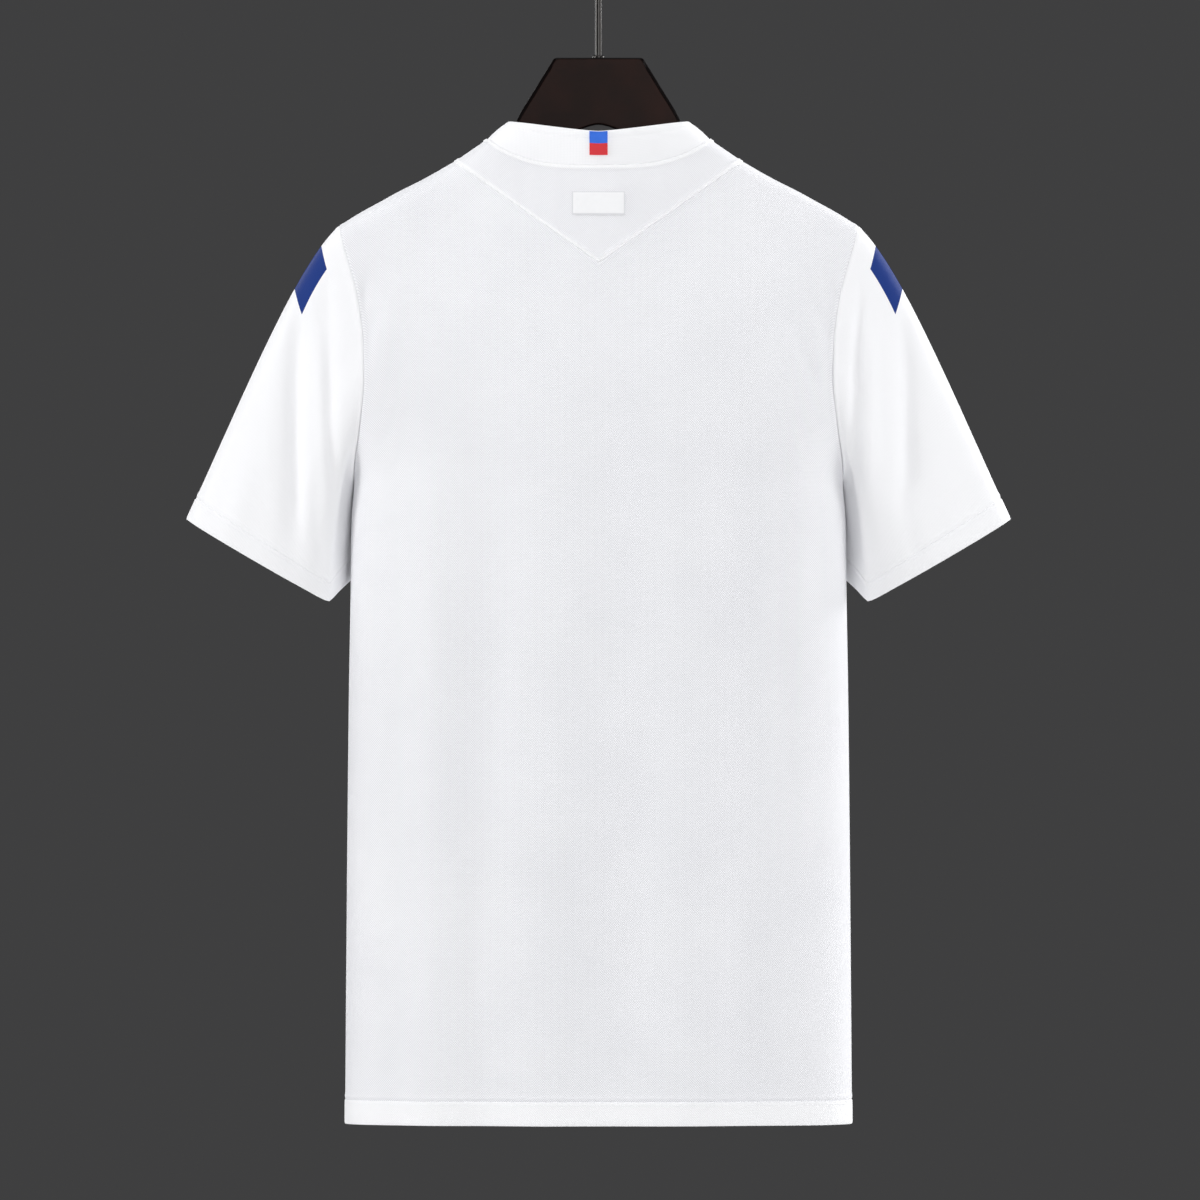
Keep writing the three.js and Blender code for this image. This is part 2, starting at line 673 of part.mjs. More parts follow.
function addHanger() {
  const places = new Set([...HANGER_TOP, ...HANGER_END].map((row) => row.x));
  const lastX = HANGER_TOP[HANGER_TOP.length - 1].x;
  for (let x = lastX + HANGER_STEP; x < HANGER_END[0].x; x += HANGER_STEP) places.add(x);
  const right = [...places].sort((a, b) => a - b);
  const along = [...right.slice(1).map((x) => -x).reverse(), ...right];
  const rings = along.map(hangerSection);
  const count = rings[0].length;
  const positions = rings.flat().flatMap((point) => point.toArray());
  const index = [];
  for (let j = 0; j < rings.length - 1; j += 1) {
    for (let i = 0; i < count; i += 1) {
      const next = (i + 1) % count;
      const [a, b] = [j * count + i, j * count + next];
      index.push(a, b, b + count, a, b + count, a + count);
    }
  }
  const end = (rings.length - 1) * count;
  for (let i = 1; i < count - 1; i += 1) {
    index.push(0, i + 1, i);
    index.push(end, end + i, end + i + 1);
  }
  addMesh("hanger_body", solid(positions, index), DARK_WOOD);
}

// The hook's centreline: up the shaft, a short bend back, then round the rail to its tip
function hookPath() {
  const radius = HOOK.inside + HOOK.wire / 2;
  const centre = new THREE.Vector2(0, -HOOK.inside);
  const leave = THREE.MathUtils.degToRad(HOOK.turn);
  const join = new THREE.Vector2(Math.cos(leave), Math.sin(leave)).multiplyScalar(radius).add(centre);
  const bendRadius = -join.x / (1 - Math.cos(leave - Math.PI));
  const bendCentre = new THREE.Vector2(-bendRadius, 0);
  const outward = join.clone().sub(centre).normalize();
  bendCentre.copy(join).addScaledVector(outward, bendRadius);
  const points = [];
  const tip = THREE.MathUtils.degToRad(HOOK.tip);
  for (let i = 0; i <= 30; i += 1) {
    const angle = mix(tip, leave, i / 30);
    points.push([centre.x + radius * Math.cos(angle), centre.y + radius * Math.sin(angle)]);
  }
  const bendStart = leave - Math.PI;
  for (let i = 1; i <= 8; i += 1) {
    const angle = mix(bendStart, 0, i / 8);
    const x = bendCentre.x + bendRadius * Math.cos(angle);
    points.push([x, bendCentre.y + bendRadius * Math.sin(angle)]);
  }
  const [shaftX, shaftZ] = points[points.length - 1];
  const foot = HANGER_TOP[0].z + SEAM_GAP;
  for (let i = 1; i <= 8; i += 1) points.push([shaftX, mix(shaftZ, foot, i / 8)]);
  return points.map(([x, z]) => new THREE.Vector3(x, 0, z));
}

function addHook() {
  const path = new THREE.CatmullRomCurve3(hookPath());
  const section = new THREE.Shape();
  for (let i = 0; i < HOOK.sides; i += 1) {
    const angle = (i / HOOK.sides) * Math.PI * 2;
    const [x, y] = [Math.cos(angle) * HOOK.wire / 2, Math.sin(angle) * HOOK.wire / 2];
    if (i === 0) section.moveTo(x, y);
    else section.lineTo(x, y);
  }
  section.closePath();
  const options = { steps: HOOK.steps, bevelEnabled: false, extrudePath: path, curveSegments: 1 };
  addMesh("hanger_hook", new THREE.ExtrudeGeometry(section, options), CHROME);
}

// The small collar where the hook's shaft enters the wood
function addFerrule() {
  const { bore, radius, height, sides } = FERRULE;
  const profile = [
    [bore, 0],
    [radius, 0],
    [radius, height * 0.55],
    [radius - 0.6, height],
    [bore, height],
    [bore, 0],
  ].map(([r, h]) => new THREE.Vector2(r, h));
  const geometry = new THREE.LatheGeometry(profile, sides);
  geometry.rotateX(Math.PI / 2);
  geometry.translate(0, 0, HANGER_TOP[0].z + SEAM_GAP);
  addMesh("hook_ferrule", geometry, CHROME);
}

addBackPanel();
addFrontPanel();
addYoke();
addSleeve("left");
addSleeve("right");
addCollar();
addTab();
addPatch();
addHanger();
addHook();
addFerrule();

export default jersey;
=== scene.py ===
import math

import bpy
import numpy as np
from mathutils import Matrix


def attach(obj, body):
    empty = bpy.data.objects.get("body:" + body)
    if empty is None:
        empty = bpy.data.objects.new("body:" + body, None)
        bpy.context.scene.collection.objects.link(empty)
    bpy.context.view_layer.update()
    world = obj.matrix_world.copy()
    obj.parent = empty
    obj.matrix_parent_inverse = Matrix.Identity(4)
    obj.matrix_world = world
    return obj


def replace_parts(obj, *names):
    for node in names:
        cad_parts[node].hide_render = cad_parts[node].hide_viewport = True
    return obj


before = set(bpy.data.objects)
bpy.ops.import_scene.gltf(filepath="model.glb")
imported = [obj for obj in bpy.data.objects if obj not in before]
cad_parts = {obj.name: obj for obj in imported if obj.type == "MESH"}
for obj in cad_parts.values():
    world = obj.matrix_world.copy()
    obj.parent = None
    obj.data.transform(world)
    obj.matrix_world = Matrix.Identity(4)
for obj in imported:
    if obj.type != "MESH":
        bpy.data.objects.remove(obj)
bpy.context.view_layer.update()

# Football jersey on a hanger. Lengths below are in millimetres: +Z up, +Y the back, +X the wearer's left.
MM = 0.001


def table(names, *rows):
    """A short table: its columns by name, a row for each section or fold."""
    return {name: np.array(column, float) for name, column in zip(names.split(), zip(*rows))}


def fold_table(*rows):
    """Soft folds, from their tops to their low ends; a trough has a negative depth."""
    return table("top_x low_x top_z low_z width depth", *rows)


def crease_table(*rows):
    """Short creases over the soft folds, from one end to the other."""
    return table("x z to_x to_z width depth", *rows)


# Walls and seams
CLOTH = 1.1
COLLAR_WALL = 2.2
SEAM_GAP = 0.06
TRIM_LIFT = 0.25
PATCH_WALL = 0.45
TAB_WALL = 0.9

# Heights and half widths of the jersey's outline
HEM_Z = -890.75
HEM_BAND = 18.0
CUFF_BAND = 14.0
BAND_RAISE = 0.45
ARMHOLE_TOP_X, ARMHOLE_TOP_Z = 194.6, -218.0
ARMPIT_Z = -408.5
YOKE_POINT_Z = -246.5
YOKE_SIDE_X = 108.5
NECK_X, NECK_Z, NECK_BACK_Z, NECK_FRONT_Z = 83.0, -152.8, -172.7, -235.0
NECK_BACK_FLATNESS = 3.2
TOP_X, TOP_Z, TOP_BACK_Z, TOP_FRONT_Z = 66.4, -139.25, -147.5, -212.0
TOP_BACK_Y, TOP_FRONT_Y = 27.0, 46.0

# Outline of the shoulders
SHOULDER = table(
    "x z",
    (0, -112.6), (8, -112.6), (45, -130.5), (83, -152.8), (96.4, -161.8), (104, -167), (119, -176),
    (134, -184.25), (149, -191.75), (164, -200), (179, -208.25), (194.6, -218),
)

# Half width of the body: real below the armpit, and above it where its roundness would end
GIRTH = table(
    "z half",
    (-890.75, 190.3), (-723.5, 189), (-573.5, 187.5), (-506, 186.4), (-440, 185.5), (-408.5, 183.5),
    (-380, 192), (-340, 212), (-300, 235), (-260, 262), (-218, 300),
)

# Armhole seam
ARMHOLE = table(
    "z x",
    (-408.5, 183.5), (-393.5, 182.4), (-371, 179), (-333.5, 175.5), (-306.5, 176),
    (-271, 180.7), (-247, 187), (-231, 191.7), (-218, 194.6),
)

# How far the back and the front stand out, by the drop below the shoulder line
STAND_OUT = table(
    "drop back front",
    (0, 0, 0), (4, 9, 9), (10, 14, 14), (20, 18, 18.5), (45, 25, 26), (90, 38, 40),
    (150, 52, 56), (230, 63, 69), (330, 69, 76), (480, 70, 76), (750, 66, 70),
)
ROUNDNESS = 0.375
SECTION_DEPTH = 0.37
FOLD_FADE = 60.0
DRIFT_START = {"back": 1.7, "front": 4.1, "sleeve": 2.3}

BODY_FOLDS = {
    "back": fold_table(
        (147, 153, -330, -900, 17, -2.4), (84, 86, -360, -900, 22, -3.4),
        (-8, -9, -300, -900, 24, -2.6), (-107, -115, -290, -900, 21, -3),
        (124, 127, -400, -900, 15, 1.6), (40, 40, -330, -900, 22, 2),
        (-60, -62, -330, -900, 22, 2.2), (-150, -168, -330, -900, 16, 2.4),
        (172, 175, -255, -320, 7, -2), (-170, -178, -255, -350, 8, -2.2),
    ),
    "front": fold_table(
        (-138, -148, -320, -900, 19, -2.8), (-66, -74, -380, -900, 24, -3.2),
        (22, 26, -330, -900, 24, -2.4), (112, 104, -310, -900, 20, -3.2),
        (-104, -110, -400, -900, 16, 1.8), (-22, -24, -380, -900, 22, 2),
        (68, 66, -340, -900, 20, 2.2), (152, 158, -350, -900, 15, 2.2),
        (168, 176, -255, -330, 8, -2.2), (-166, -175, -255, -345, 8, -2),
    ),
}
SLEEVE_FOLDS = {
    ("left", "back"): fold_table(
        (225, 229, -272, -455, 9, -4.2), (204, 199, -250, -415, 6, -2.6),
        (252, 276, -330, -450, 11, 2),
    ),
    ("left", "front"): fold_table(
        (222, 240, -280, -470, 10, -4), (205, 200, -255, -420, 7, -2.6),
    ),
    ("right", "back"): fold_table(
        (228, 232, -275, -425, 9, -3.8), (201, 204, -285, -420, 7, 2.2),
        (196, 190, -262, -410, 5, -2.8),
    ),
    ("right", "front"): fold_table(
        (230, 246, -290, -470, 11, -4.2), (202, 206, -280, -425, 8, 2.4),
    ),
}

BODY_CREASES = {
    "back": crease_table(
        (173, -256, 176, -276, 3.2, -0.7), (164, -281, 171, -300, 3.6, -0.8),
        (150, -262, 166, -330, 6, 0.6), (-172, -255, -179, -277, 3.2, -0.9),
        (-157, -270, -172, -303, 4, -1.0), (-145, -292, -162, -336, 4.5, -1.0),
        (-138, -300, -150, -352, 6, 0.7), (118, -430, 106, -560, 11, -0.8),
        (62, -520, 66, -700, 9, 0.7), (-36, -560, -30, -760, 10, -0.8),
        (-132, -470, -140, -640, 9, -0.9), (168, -760, 150, -880, 9, -0.9),
        (140, -800, 132, -880, 8, 0.9), (96, -700, 88, -860, 8, -0.9),
        (-88, -720, -84, -880, 9, 0.8), (-168, -560, -160, -700, 7, -0.8),
        (14, -420, 22, -560, 10, 0.6),
    ),
    "front": crease_table(
        (-172, -258, -177, -280, 3.4, -0.9), (-158, -276, -170, -306, 4, -0.9),
        (160, -268, 172, -300, 4, -1.0), (144, -290, 160, -334, 4.5, -0.9),
        (60, -250, 96, -330, 9, -0.9), (-62, -252, -92, -320, 8, -0.8),
        (-112, -440, -104, -570, 10, -0.9), (-44, -500, -50, -690, 10, 0.8),
        (46, -540, 40, -740, 10, -0.8), (130, -470, 136, -650, 9, -0.9),
        (-164, -740, -152, -880, 9, -0.9), (84, -700, 92, -880, 9, 0.8),
    ),
}
SLEEVE_CREASES = {
    ("left", "back"): crease_table(
        (212, -262, 209, -292, 3.5, -1.0), (226.5, -280, 228.5, -440, 5, -1.7),
        (209, -300, 205, -420, 4.5, 1.2), (241, -300, 250, -400, 6, 0.9),
        (262, -360, 284, -432, 7, -0.8), (213, -410, 209, -475, 4.5, -1.0),
    ),
    ("left", "front"): crease_table(
        (214, -268, 218, -300, 4, -0.9), (244, -310, 262, -390, 6, -0.9),
        (226, -400, 222, -465, 6, 0.8),
    ),
    ("right", "back"): crease_table(
        (214, -268, 216, -300, 3.5, -0.8), (229, -282, 232, -415, 5, -1.6),
        (205, -300, 203, -404, 4.5, 1.3), (244, -320, 262, -390, 6, 0.9),
        (222, -410, 240, -470, 6, -0.9),
    ),
    ("right", "front"): crease_table(
        (212, -266, 216, -300, 4, -0.9), (250, -330, 268, -400, 6, -0.8),
        (216, -410, 214, -470, 6, 0.8),
    ),
}

# The cuff's edge, from its outer corner (0) to its inner fold (1)
CUFF_COLUMNS = "along x y z"
CUFF = {
    "back": table(
        CUFF_COLUMNS,
        (0, 309.2, -6, -437.9), (0.04, 304, 4, -441.5), (0.12, 292, 10, -449),
        (0.28, 271, 16, -461.5), (0.5, 246, 19, -476), (0.72, 221, 17, -490),
        (0.85, 205.2, 12.5, -498.5), (0.87, 202.3, 11.5, -499.6), (0.89, 199.6, 9.5, -497.6),
        (0.94, 194, 2.5, -491.5), (1, 186.5, -22, -484),
    ),
    "front": table(
        CUFF_COLUMNS,
        (0, 309.2, -6, -437.9), (0.04, 303.5, -16, -441.5), (0.12, 291, -24, -449),
        (0.28, 271, -33, -461), (0.5, 247, -40, -475), (0.72, 223, -45, -488),
        (0.87, 207, -46, -495), (0.94, 195, -39, -490.5), (1, 186.5, -22, -484),
    ),
}
# How the sleeve leaves the armhole and reaches the cuff: at its outer side, its inner side, and in its tuck
SLEEVE_LEAVES = np.array(((95, 0, -84), (30, -4, -30), (-30, -56, -20)), float)
SLEEVE_ENDS = np.array(((128, -2, -277), (-12, -20, -75), (16, 15, -15)), float)
TUCK_FROM = 0.93

# Patch below the collar with its pressed border, and tab over the collar with its two bands
PATCH_HALF, PATCH_TOP_Z, PATCH_LOW_Z, PATCH_BORDER = 19.8, -193.2, -210.9, 0.8
PATCH_PRESSED = (-0.25, 0, 0.5)
TAB_HALF, TAB_TOP, TAB_LOW, TAB_OVER, TAB_BAND = 6.75, 0.97, 0.27, 0.55, 9.0
TAB_SPREAD = 0.93

# Printed bar on each sleeve: its distances from the armhole and its half width
BAR_FROM, BAR_TO, BAR_HALF = 20, 58, 24

# Hanger and hook
HANGER_TOP = table(
    "x z",
    (0, -92), (31, -92), (33.6, -92.9), (35.2, -95.4), (48, -116.2), (61, -138.2), (62.9, -143.5),
    (64.6, -150.5), (68.5, -157.5), (75.5, -161.8), (86, -164.3), (98, -167.4), (106, -171.6),
    (114, -175.6),
)
HANGER_END = table("x size", (181, 1), (185, 0.92), (187.6, 0.74), (189, 0.5))
HANGER_APEX_Z, HANGER_APEX_ROUND, HANGER_SLOPE = -142.3, 9.0, 0.5
# Half thickness, bevel and softness of edge: at the neck, and along the arms
HANGER_HALF, HANGER_BEVEL, HANGER_SOFT = (6.5, 7.2), (2.5, 4.2), (0.35, 1.9)
HANGER_GROWS = (62.0, 92.0)
HANGER_UNDER_CLOTH = 2.2
FLAT_BEVEL, FLAT_HALF, FLAT_FADE = 0.45, 29, 6
STEEP_REACH, STEEPEST = 1.5, 2.1
HOOK_FOOT_Z = HANGER_TOP["z"][0] + 0.3
HOOK_WIRE, HOOK_INSIDE, HOOK_TIP, HOOK_TURN = 5.0, 18.0, -12.0, 250.0
FERRULE_BORE, FERRULE_RADIUS, FERRULE_HEIGHT = 2.65, 4.4, 1.6

# Camera and room
PICTURE = 1200
MM_PER_PIXEL = 0.75
CENTRE_X, CENTRE_Z = -1.1, -498.5
CAMERA_AWAY = 10.0
SENSOR = 36.0
FLOOR_Z, FLOOR_HALF = -1.6, 13.0
FLOOR_DARK, FLOOR_PALE = (0.56, 0.56, 0.56), (0.6, 0.6, 0.6)
SURROUND = (0.05, 0.05, 0.051)

# Lights: place and width in metres, and power in watts
LIGHT_AIM = (0, 0, -0.5)
LIGHTS = {
    "key": ((4.4, 0.95, 0.7), 1.5, 108),
    "fill": ((-0.7, 4.2, 0.2), 3.0, 101),
    "side": ((-4.4, 0.8, 0.5), 1.7, 62),
    "ceiling": ((0, 0.4, 5.5), 8.0, 290),
    "front": ((-3.6, -2.4, 0.9), 1.6, 118),
    "front_fill": ((2.2, -3.8, 0.1), 2.4, 44),
}


# Curves and grids


def hermite(start, leave, end, arrive, t):
    t2, t3 = t * t, t * t * t
    return (
        start * (2 * t3 - 3 * t2 + 1)
        + leave * (t3 - 2 * t2 + t)
        + end * (3 * t2 - 2 * t3)
        + arrive * (t3 - t2)
    )


def curve(rows, source, target):
    """A smooth curve through a table's rows, which never swings past them."""
    at, value = rows[source], rows[target]
    long = np.diff(at)
    rise = np.diff(value) / long
    slope = np.concatenate([rise[:1], np.zeros(len(rise) - 1), rise[-1:]])
    pair = rise[:-1] * rise[1:]
    total = np.where(pair > 0, rise[:-1] + rise[1:], 1)
    slope[1:-1] = np.where(pair > 0, 2 * pair / total, 0)

    def place(x):
        inside = np.clip(x, at[0], at[-1])
        i = np.clip(np.searchsorted(at, inside, side="right") - 1, 0, len(long) - 1)
        t = (inside - at[i]) / long[i]
        return hermite(value[i], slope[i] * long[i], value[i + 1], slope[i + 1] * long[i], t)

    return place


def mix(a, b, t):
    return a + (b - a) * t


def ease(t):
    inside = np.clip(t, 0, 1)
    return inside * inside * (3 - 2 * inside)


def bump(distance, width):
    return np.exp(-((distance / width) ** 2))


def ridge(distance, shape):
    """A soft ridge, or a groove with a negative height, at a distance from an edge."""
    height, place, width = shape
    return height * bump(distance - place, width)


def bowed(t, by):
    """Even steps from -1 to 1, drawn together toward both ends."""
    return np.sin(t * by) / math.sin(by)


def unit(vectors):
    return vectors / np.maximum(np.linalg.norm(vectors, axis=-1, keepdims=True), 1e-12)


shoulder_curve = curve(SHOULDER, "x", "z")
girth = curve(GIRTH, "z", "half")
armhole_x = curve(ARMHOLE, "z", "x")
stand_out = {side: curve(STAND_OUT, "drop", side) for side in ("back", "front")}


def shoulder_z(x):
    return shoulder_curve(np.abs(x))


def fold_height(folds, x, z):
    """Height of the soft folds over the smooth form."""
    height = np.zeros(np.broadcast(x, z).shape)
    for top_x, low_x, top_z, low_z, width, depth in zip(*folds.values()):
        down = (top_z - z) / (top_z - low_z)
        ends = 1 if low_z < HEM_Z else ease((1.15 - down) / 0.35)
        off = (x - mix(top_x, low_x, down)) / width
        height += depth * ease((down + 0.15) / 0.35) * ends * np.exp(-off * off)
    return height


def crease_height(creases, x, z):
    """Height of the short creases: soft lines between two points, fading at both ends."""
    height = np.zeros(np.broadcast(x, z).shape)
    for x1, z1, x2, z2, width, depth in zip(*creases.values()):
        long = math.hypot(x2 - x1, z2 - z1)
        across = ((x - x1) * (z2 - z1) - (z - z1) * (x2 - x1)) / long
        along = ((x - x1) * (x2 - x1) + (z - z1) * (z2 - z1)) / long / long
        bend = 0.08 * long * (along - 0.5) ** 2
        shape = ease((along + 0.25) / 0.5) * ease((1.25 - along) / 0.5)
        height += depth * shape * bump(across - bend, width)
    return height


def drift(x, z, seed):
    """A slow unevenness of the hanging cloth, well under a millimetre."""
    waves = ((0.041, 0.013, 0.30), (0.083, -0.021, 0.16), (0.029, 0.047, 0.20), (0.12, 0.034, 0.08))
    return sum(a * np.sin(u * x + v * z + seed * (i + 1)) for i, (u, v, a) in enumerate(waves))


def body_point(side, x, z):
    """Points of the body's outer surface on the back (+Y) or the front (-Y)."""
    drop = np.maximum(0, shoulder_z(x) - z)
    across = np.minimum(1, np.abs(x) / girth(z))
    round_in = np.maximum(0, 1 - across * across) ** ROUNDNESS
    fade = round_in * ease(drop / FOLD_FADE)
    folds = fold_height(BODY_FOLDS[side], x, z) + crease_height(BODY_CREASES[side], x, z)
    folds = folds + drift(x, z, DRIFT_START[side])
    out = SEAM_GAP / 2 + stand_out[side](drop) * round_in + folds * fade
    return np.stack(np.broadcast_arrays(x, out if side == "back" else -out, z), axis=-1)


def yoke_seam_z(x):
    return mix(YOKE_POINT_Z, shoulder_z(YOKE_SIDE_X), np.abs(x) / YOKE_SIDE_X)


def neck_back_z(x):
    return NECK_BACK_Z + (NECK_Z - NECK_BACK_Z) * (np.abs(x) / NECK_X) ** NECK_BACK_FLATNESS


def neck_front_z(x):
    return NECK_Z + (NECK_FRONT_Z - NECK_Z) * np.sqrt(np.maximum(0, 1 - (x / NECK_X) ** 2))


OPEN_OUT = 90.0
LEVEL_BY = 0.55
LOW_BOW, NECK_BOW = 1.3, 1.44
EDGE_DROP = ARMHOLE_TOP_Z - ARMPIT_Z
HEM_DROP = ARMHOLE_TOP_Z - HEM_Z


def spread_rows():
    """Drops of the panels' rows: close together along the top seam and in the hem."""
    top = np.array([0, 0.7, 1.4, 2.1, 2.8, 3.5, 4.4, 5.6, 7.2, 9.4, 12, 15, 18.5, 22.5])
    middle = np.linspace(27, HEM_DROP - 26, 140)
    above = [23.5, 22, 21.2, 20.5, 19.8, 19.2, 18.6, 18.2, 17.8, 17.2, 16, 13, 9, 5, 2, 0.8, 0]
    return np.concatenate([top, middle, HEM_DROP - np.array(above)])


def spread_columns(corner_x, inner, count=46):
    """Column places from side to side as parts of the half width, with one at each corner."""
    corner = corner_x / ARMHOLE_TOP_X
    inner = corner * inner
    outer = mix(corner, 1, bowed(np.arange(count + 1) / count, math.pi / 2))
    half = np.concatenate([inner, outer])
    return np.concatenate([-half[:0:-1], half])


def side_x(z):
    return np.where(z > ARMPIT_Z, armhole_x(z), girth(z))


def panel_point(side, part, drop, top_z, low_part=None):
    """Points of a panel by part of its half width and drop below its top edge.

    The columns start at part and open out to low_part below the neck."""
    higher = top_z - ARMHOLE_TOP_Z
    z = top_z - drop - higher * ease(drop / (HEM_DROP * LEVEL_BY))
    if low_part is not None:
        part = mix(part, low_part, ease(drop / OPEN_OUT))
    return body_point(side, part * side_x(ARMHOLE_TOP_Z - drop), z)


def grid_normals(grid, closed):
    """Direction out of a grid: away from the middle of a closed one, or away from the plane Y = 0."""
    if closed:
        across = np.roll(grid, -1, axis=1) - np.roll(grid, 1, axis=1)
    else:
        across = np.gradient(grid, axis=1)
    out = np.cross(across, np.gradient(grid, axis=0))
    if closed:
        half = grid.shape[1] // 2
        opposite = np.roll(grid, half, axis=1)
        sign = np.sign((out[1] * (grid[1] - opposite[1])).sum())
    else:
        sign = np.sign((out[..., 1] * grid[..., 1]).sum())
        seam = np.abs(grid[..., 1]) < 2 * SEAM_GAP
        out[..., 1] = np.where(seam, 0, out[..., 1])
    return unit(out * sign)


def lengths(grid, axis):
    """Distance along the rows or columns of a grid, from their first point."""
    step = np.linalg.norm(np.diff(grid, axis=axis), axis=-1)
    pad = [(0, 0), (0, 0)]
    pad[axis] = (1, 0)
    return np.pad(np.cumsum(step, axis=axis), pad)


# Meshes


def add_object(name, data):
    item = bpy.data.objects.new(name, data)
    bpy.context.scene.collection.objects.link(item)
    return item


def new_piece(name, points, faces, uv, material, smooth_angle=50, strip=None):
    """A mesh from points in millimetres, with a uv for each point in centimetres of cloth."""
    mesh = bpy.data.meshes.new(name)
    mesh.from_pydata((points * MM).tolist(), [], faces if isinstance(faces, list) else faces.tolist())
    if uv is not None:
        layer = mesh.uv_layers.new(name="cloth")
        corner = np.empty(len(mesh.loops), np.int32)
        mesh.loops.foreach_get("vertex_index", corner)
        layer.data.foreach_set("uv", uv[corner].astype(np.float32).ravel())
    mesh.polygons.foreach_set("use_smooth", np.ones(len(mesh.polygons), bool))
    mesh.set_sharp_from_angle(angle=math.radians(smooth_angle))
    mesh.materials.append(material)
    if strip is not None:
        layer = mesh.attributes.new("strip", "FLOAT", "POINT")
        layer.data.foreach_set("value", strip.astype(np.float32))
    mesh.validate()
    piece = add_object(name, mesh)
    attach(piece, "root")
    return piece


def quads(a, b, c, d):
    return np.stack([a, b, c, d], axis=-1).reshape(-1, 4)


def wall_faces(rows, columns, closed):
    """Quads of a wall whose outer points come first and whose inner points follow."""
    number = np.arange(rows * columns).reshape(rows, columns)
    inner = number + rows * columns
    if closed:
        number = np.concatenate([number, number[:, :1]], axis=1)
        inner = np.concatenate([inner, inner[:, :1]], axis=1)
    faces = [
        quads(number[:-1, :-1], number[:-1, 1:], number[1:, 1:], number[1:, :-1]),
        quads(inner[:-1, 1:], inner[:-1, :-1], inner[1:, :-1], inner[1:, 1:]),
        quads(inner[0, :-1], inner[0, 1:], number[0, 1:], number[0, :-1]),
        quads(number[-1, :-1], number[-1, 1:], inner[-1, 1:], inner[-1, :-1]),
    ]
    if not closed:
        faces.append(quads(number[1:, 0], inner[1:, 0], inner[:-1, 0], number[:-1, 0]))
        faces.append(quads(number[:-1, -1], inner[:-1, -1], inner[1:, -1], number[1:, -1]))
    return np.concatenate(faces)


def signed_volume(points, faces):
    a, b, c, d = (points[faces[:, k]] for k in range(4))
    halves = np.cross(a, b) * c + np.cross(a, c) * d
    return halves.sum()


def width_of_cloth(x, z):
    """Distance around the body's section from its middle, as a whole round section has it."""
    across = np.linspace(0, 0.9995, 400)
    slope = 2 * ROUNDNESS * across * (1 - across**2) ** (ROUNDNESS - 1) * SECTION_DEPTH
    step = np.sqrt(1 + slope * slope)
    around = np.concatenate([[0], np.cumsum((step[1:] + step[:-1]) / 2)]) * (across[1] - across[0])
    return np.sign(x) * girth(z) * np.interp(np.abs(x) / girth(z), across, around)


def cloth_piece(name, grid, wall, material, closed=False, relief=0, level=None, strip=None):
    """A cloth wall: the grid's points raised by the relief, the same points moved in, and rims.

    Its knit runs level with the first row, or with the last one, or straight across by height."""
    normals = grid_normals(grid, closed)
    raised = np.broadcast_to(relief, grid.shape[:2])[..., None]
    thick = np.broadcast_to(wall, grid.shape[:2])[..., None]
    outer, inner = grid + normals * raised, grid - normals * thick
    points = np.concatenate([outer.reshape(-1, 3), inner.reshape(-1, 3)])
    faces = wall_faces(*grid.shape[:2], closed)
    if signed_volume(points, faces) < 0:
        faces = faces[:, ::-1]
    middle = 0 if closed else grid.shape[1] // 2
    u = lengths(grid, 1)
    u = u - u[:, middle : middle + 1]
    v = lengths(grid, 0)
    if level == "last row":
        u, v = width_of_cloth(grid[..., 0], grid[..., 2]), v - v[-1:]
    if level == "height":
        u, v = grid[..., 0], 0.5 * np.abs(grid[..., 1]) - grid[..., 2]
    uv = np.stack([u, v], axis=-1).reshape(-1, 2) / 10
    if strip is not None:
        strip = np.tile(strip.ravel(), 2)
    return new_piece(name, points, faces, np.concatenate([uv, uv]), material, strip=strip)


def join_rings(name, rings, material, smooth_angle, looped=False):
    """A closed body from rings of points: the last joins the first, or each end has a face of its own."""
    number = np.arange(rings[..., 0].size).reshape(rings.shape[:2])
    if looped:
        number = np.concatenate([number, number[:1]])
    around = np.concatenate([number, number[:, :1]], axis=1)
    faces = quads(around[:-1, :-1], around[:-1, 1:], around[1:, 1:], around[1:, :-1]).tolist()
    if not looped:
        faces += [number[0, ::-1].tolist(), number[-1].tolist()]
    return new_piece(name, rings.reshape(-1, 3), faces, None, material, smooth_angle)


# Stitches: small threads, laid end to end along a line on the cloth
STITCH_PITCH, STITCH_LONG, STITCH_THICK, STITCH_LIFT, STITCH_SINK = 3.0, 2.3, 0.42, 0.1, 0.18
STITCH_RINGS = ((-0.5, 0.35), (-0.28, 1), (0.28, 1), (0.5, 0.35))


def resample(line, step):
    along = np.concatenate([[0], np.cumsum(np.linalg.norm(np.diff(line, axis=0), axis=1))])
    at = np.arange(step / 2, along[-1] - step / 2, step)
    return np.stack([np.interp(at, along, line[:, k]) for k in range(3)], axis=1)


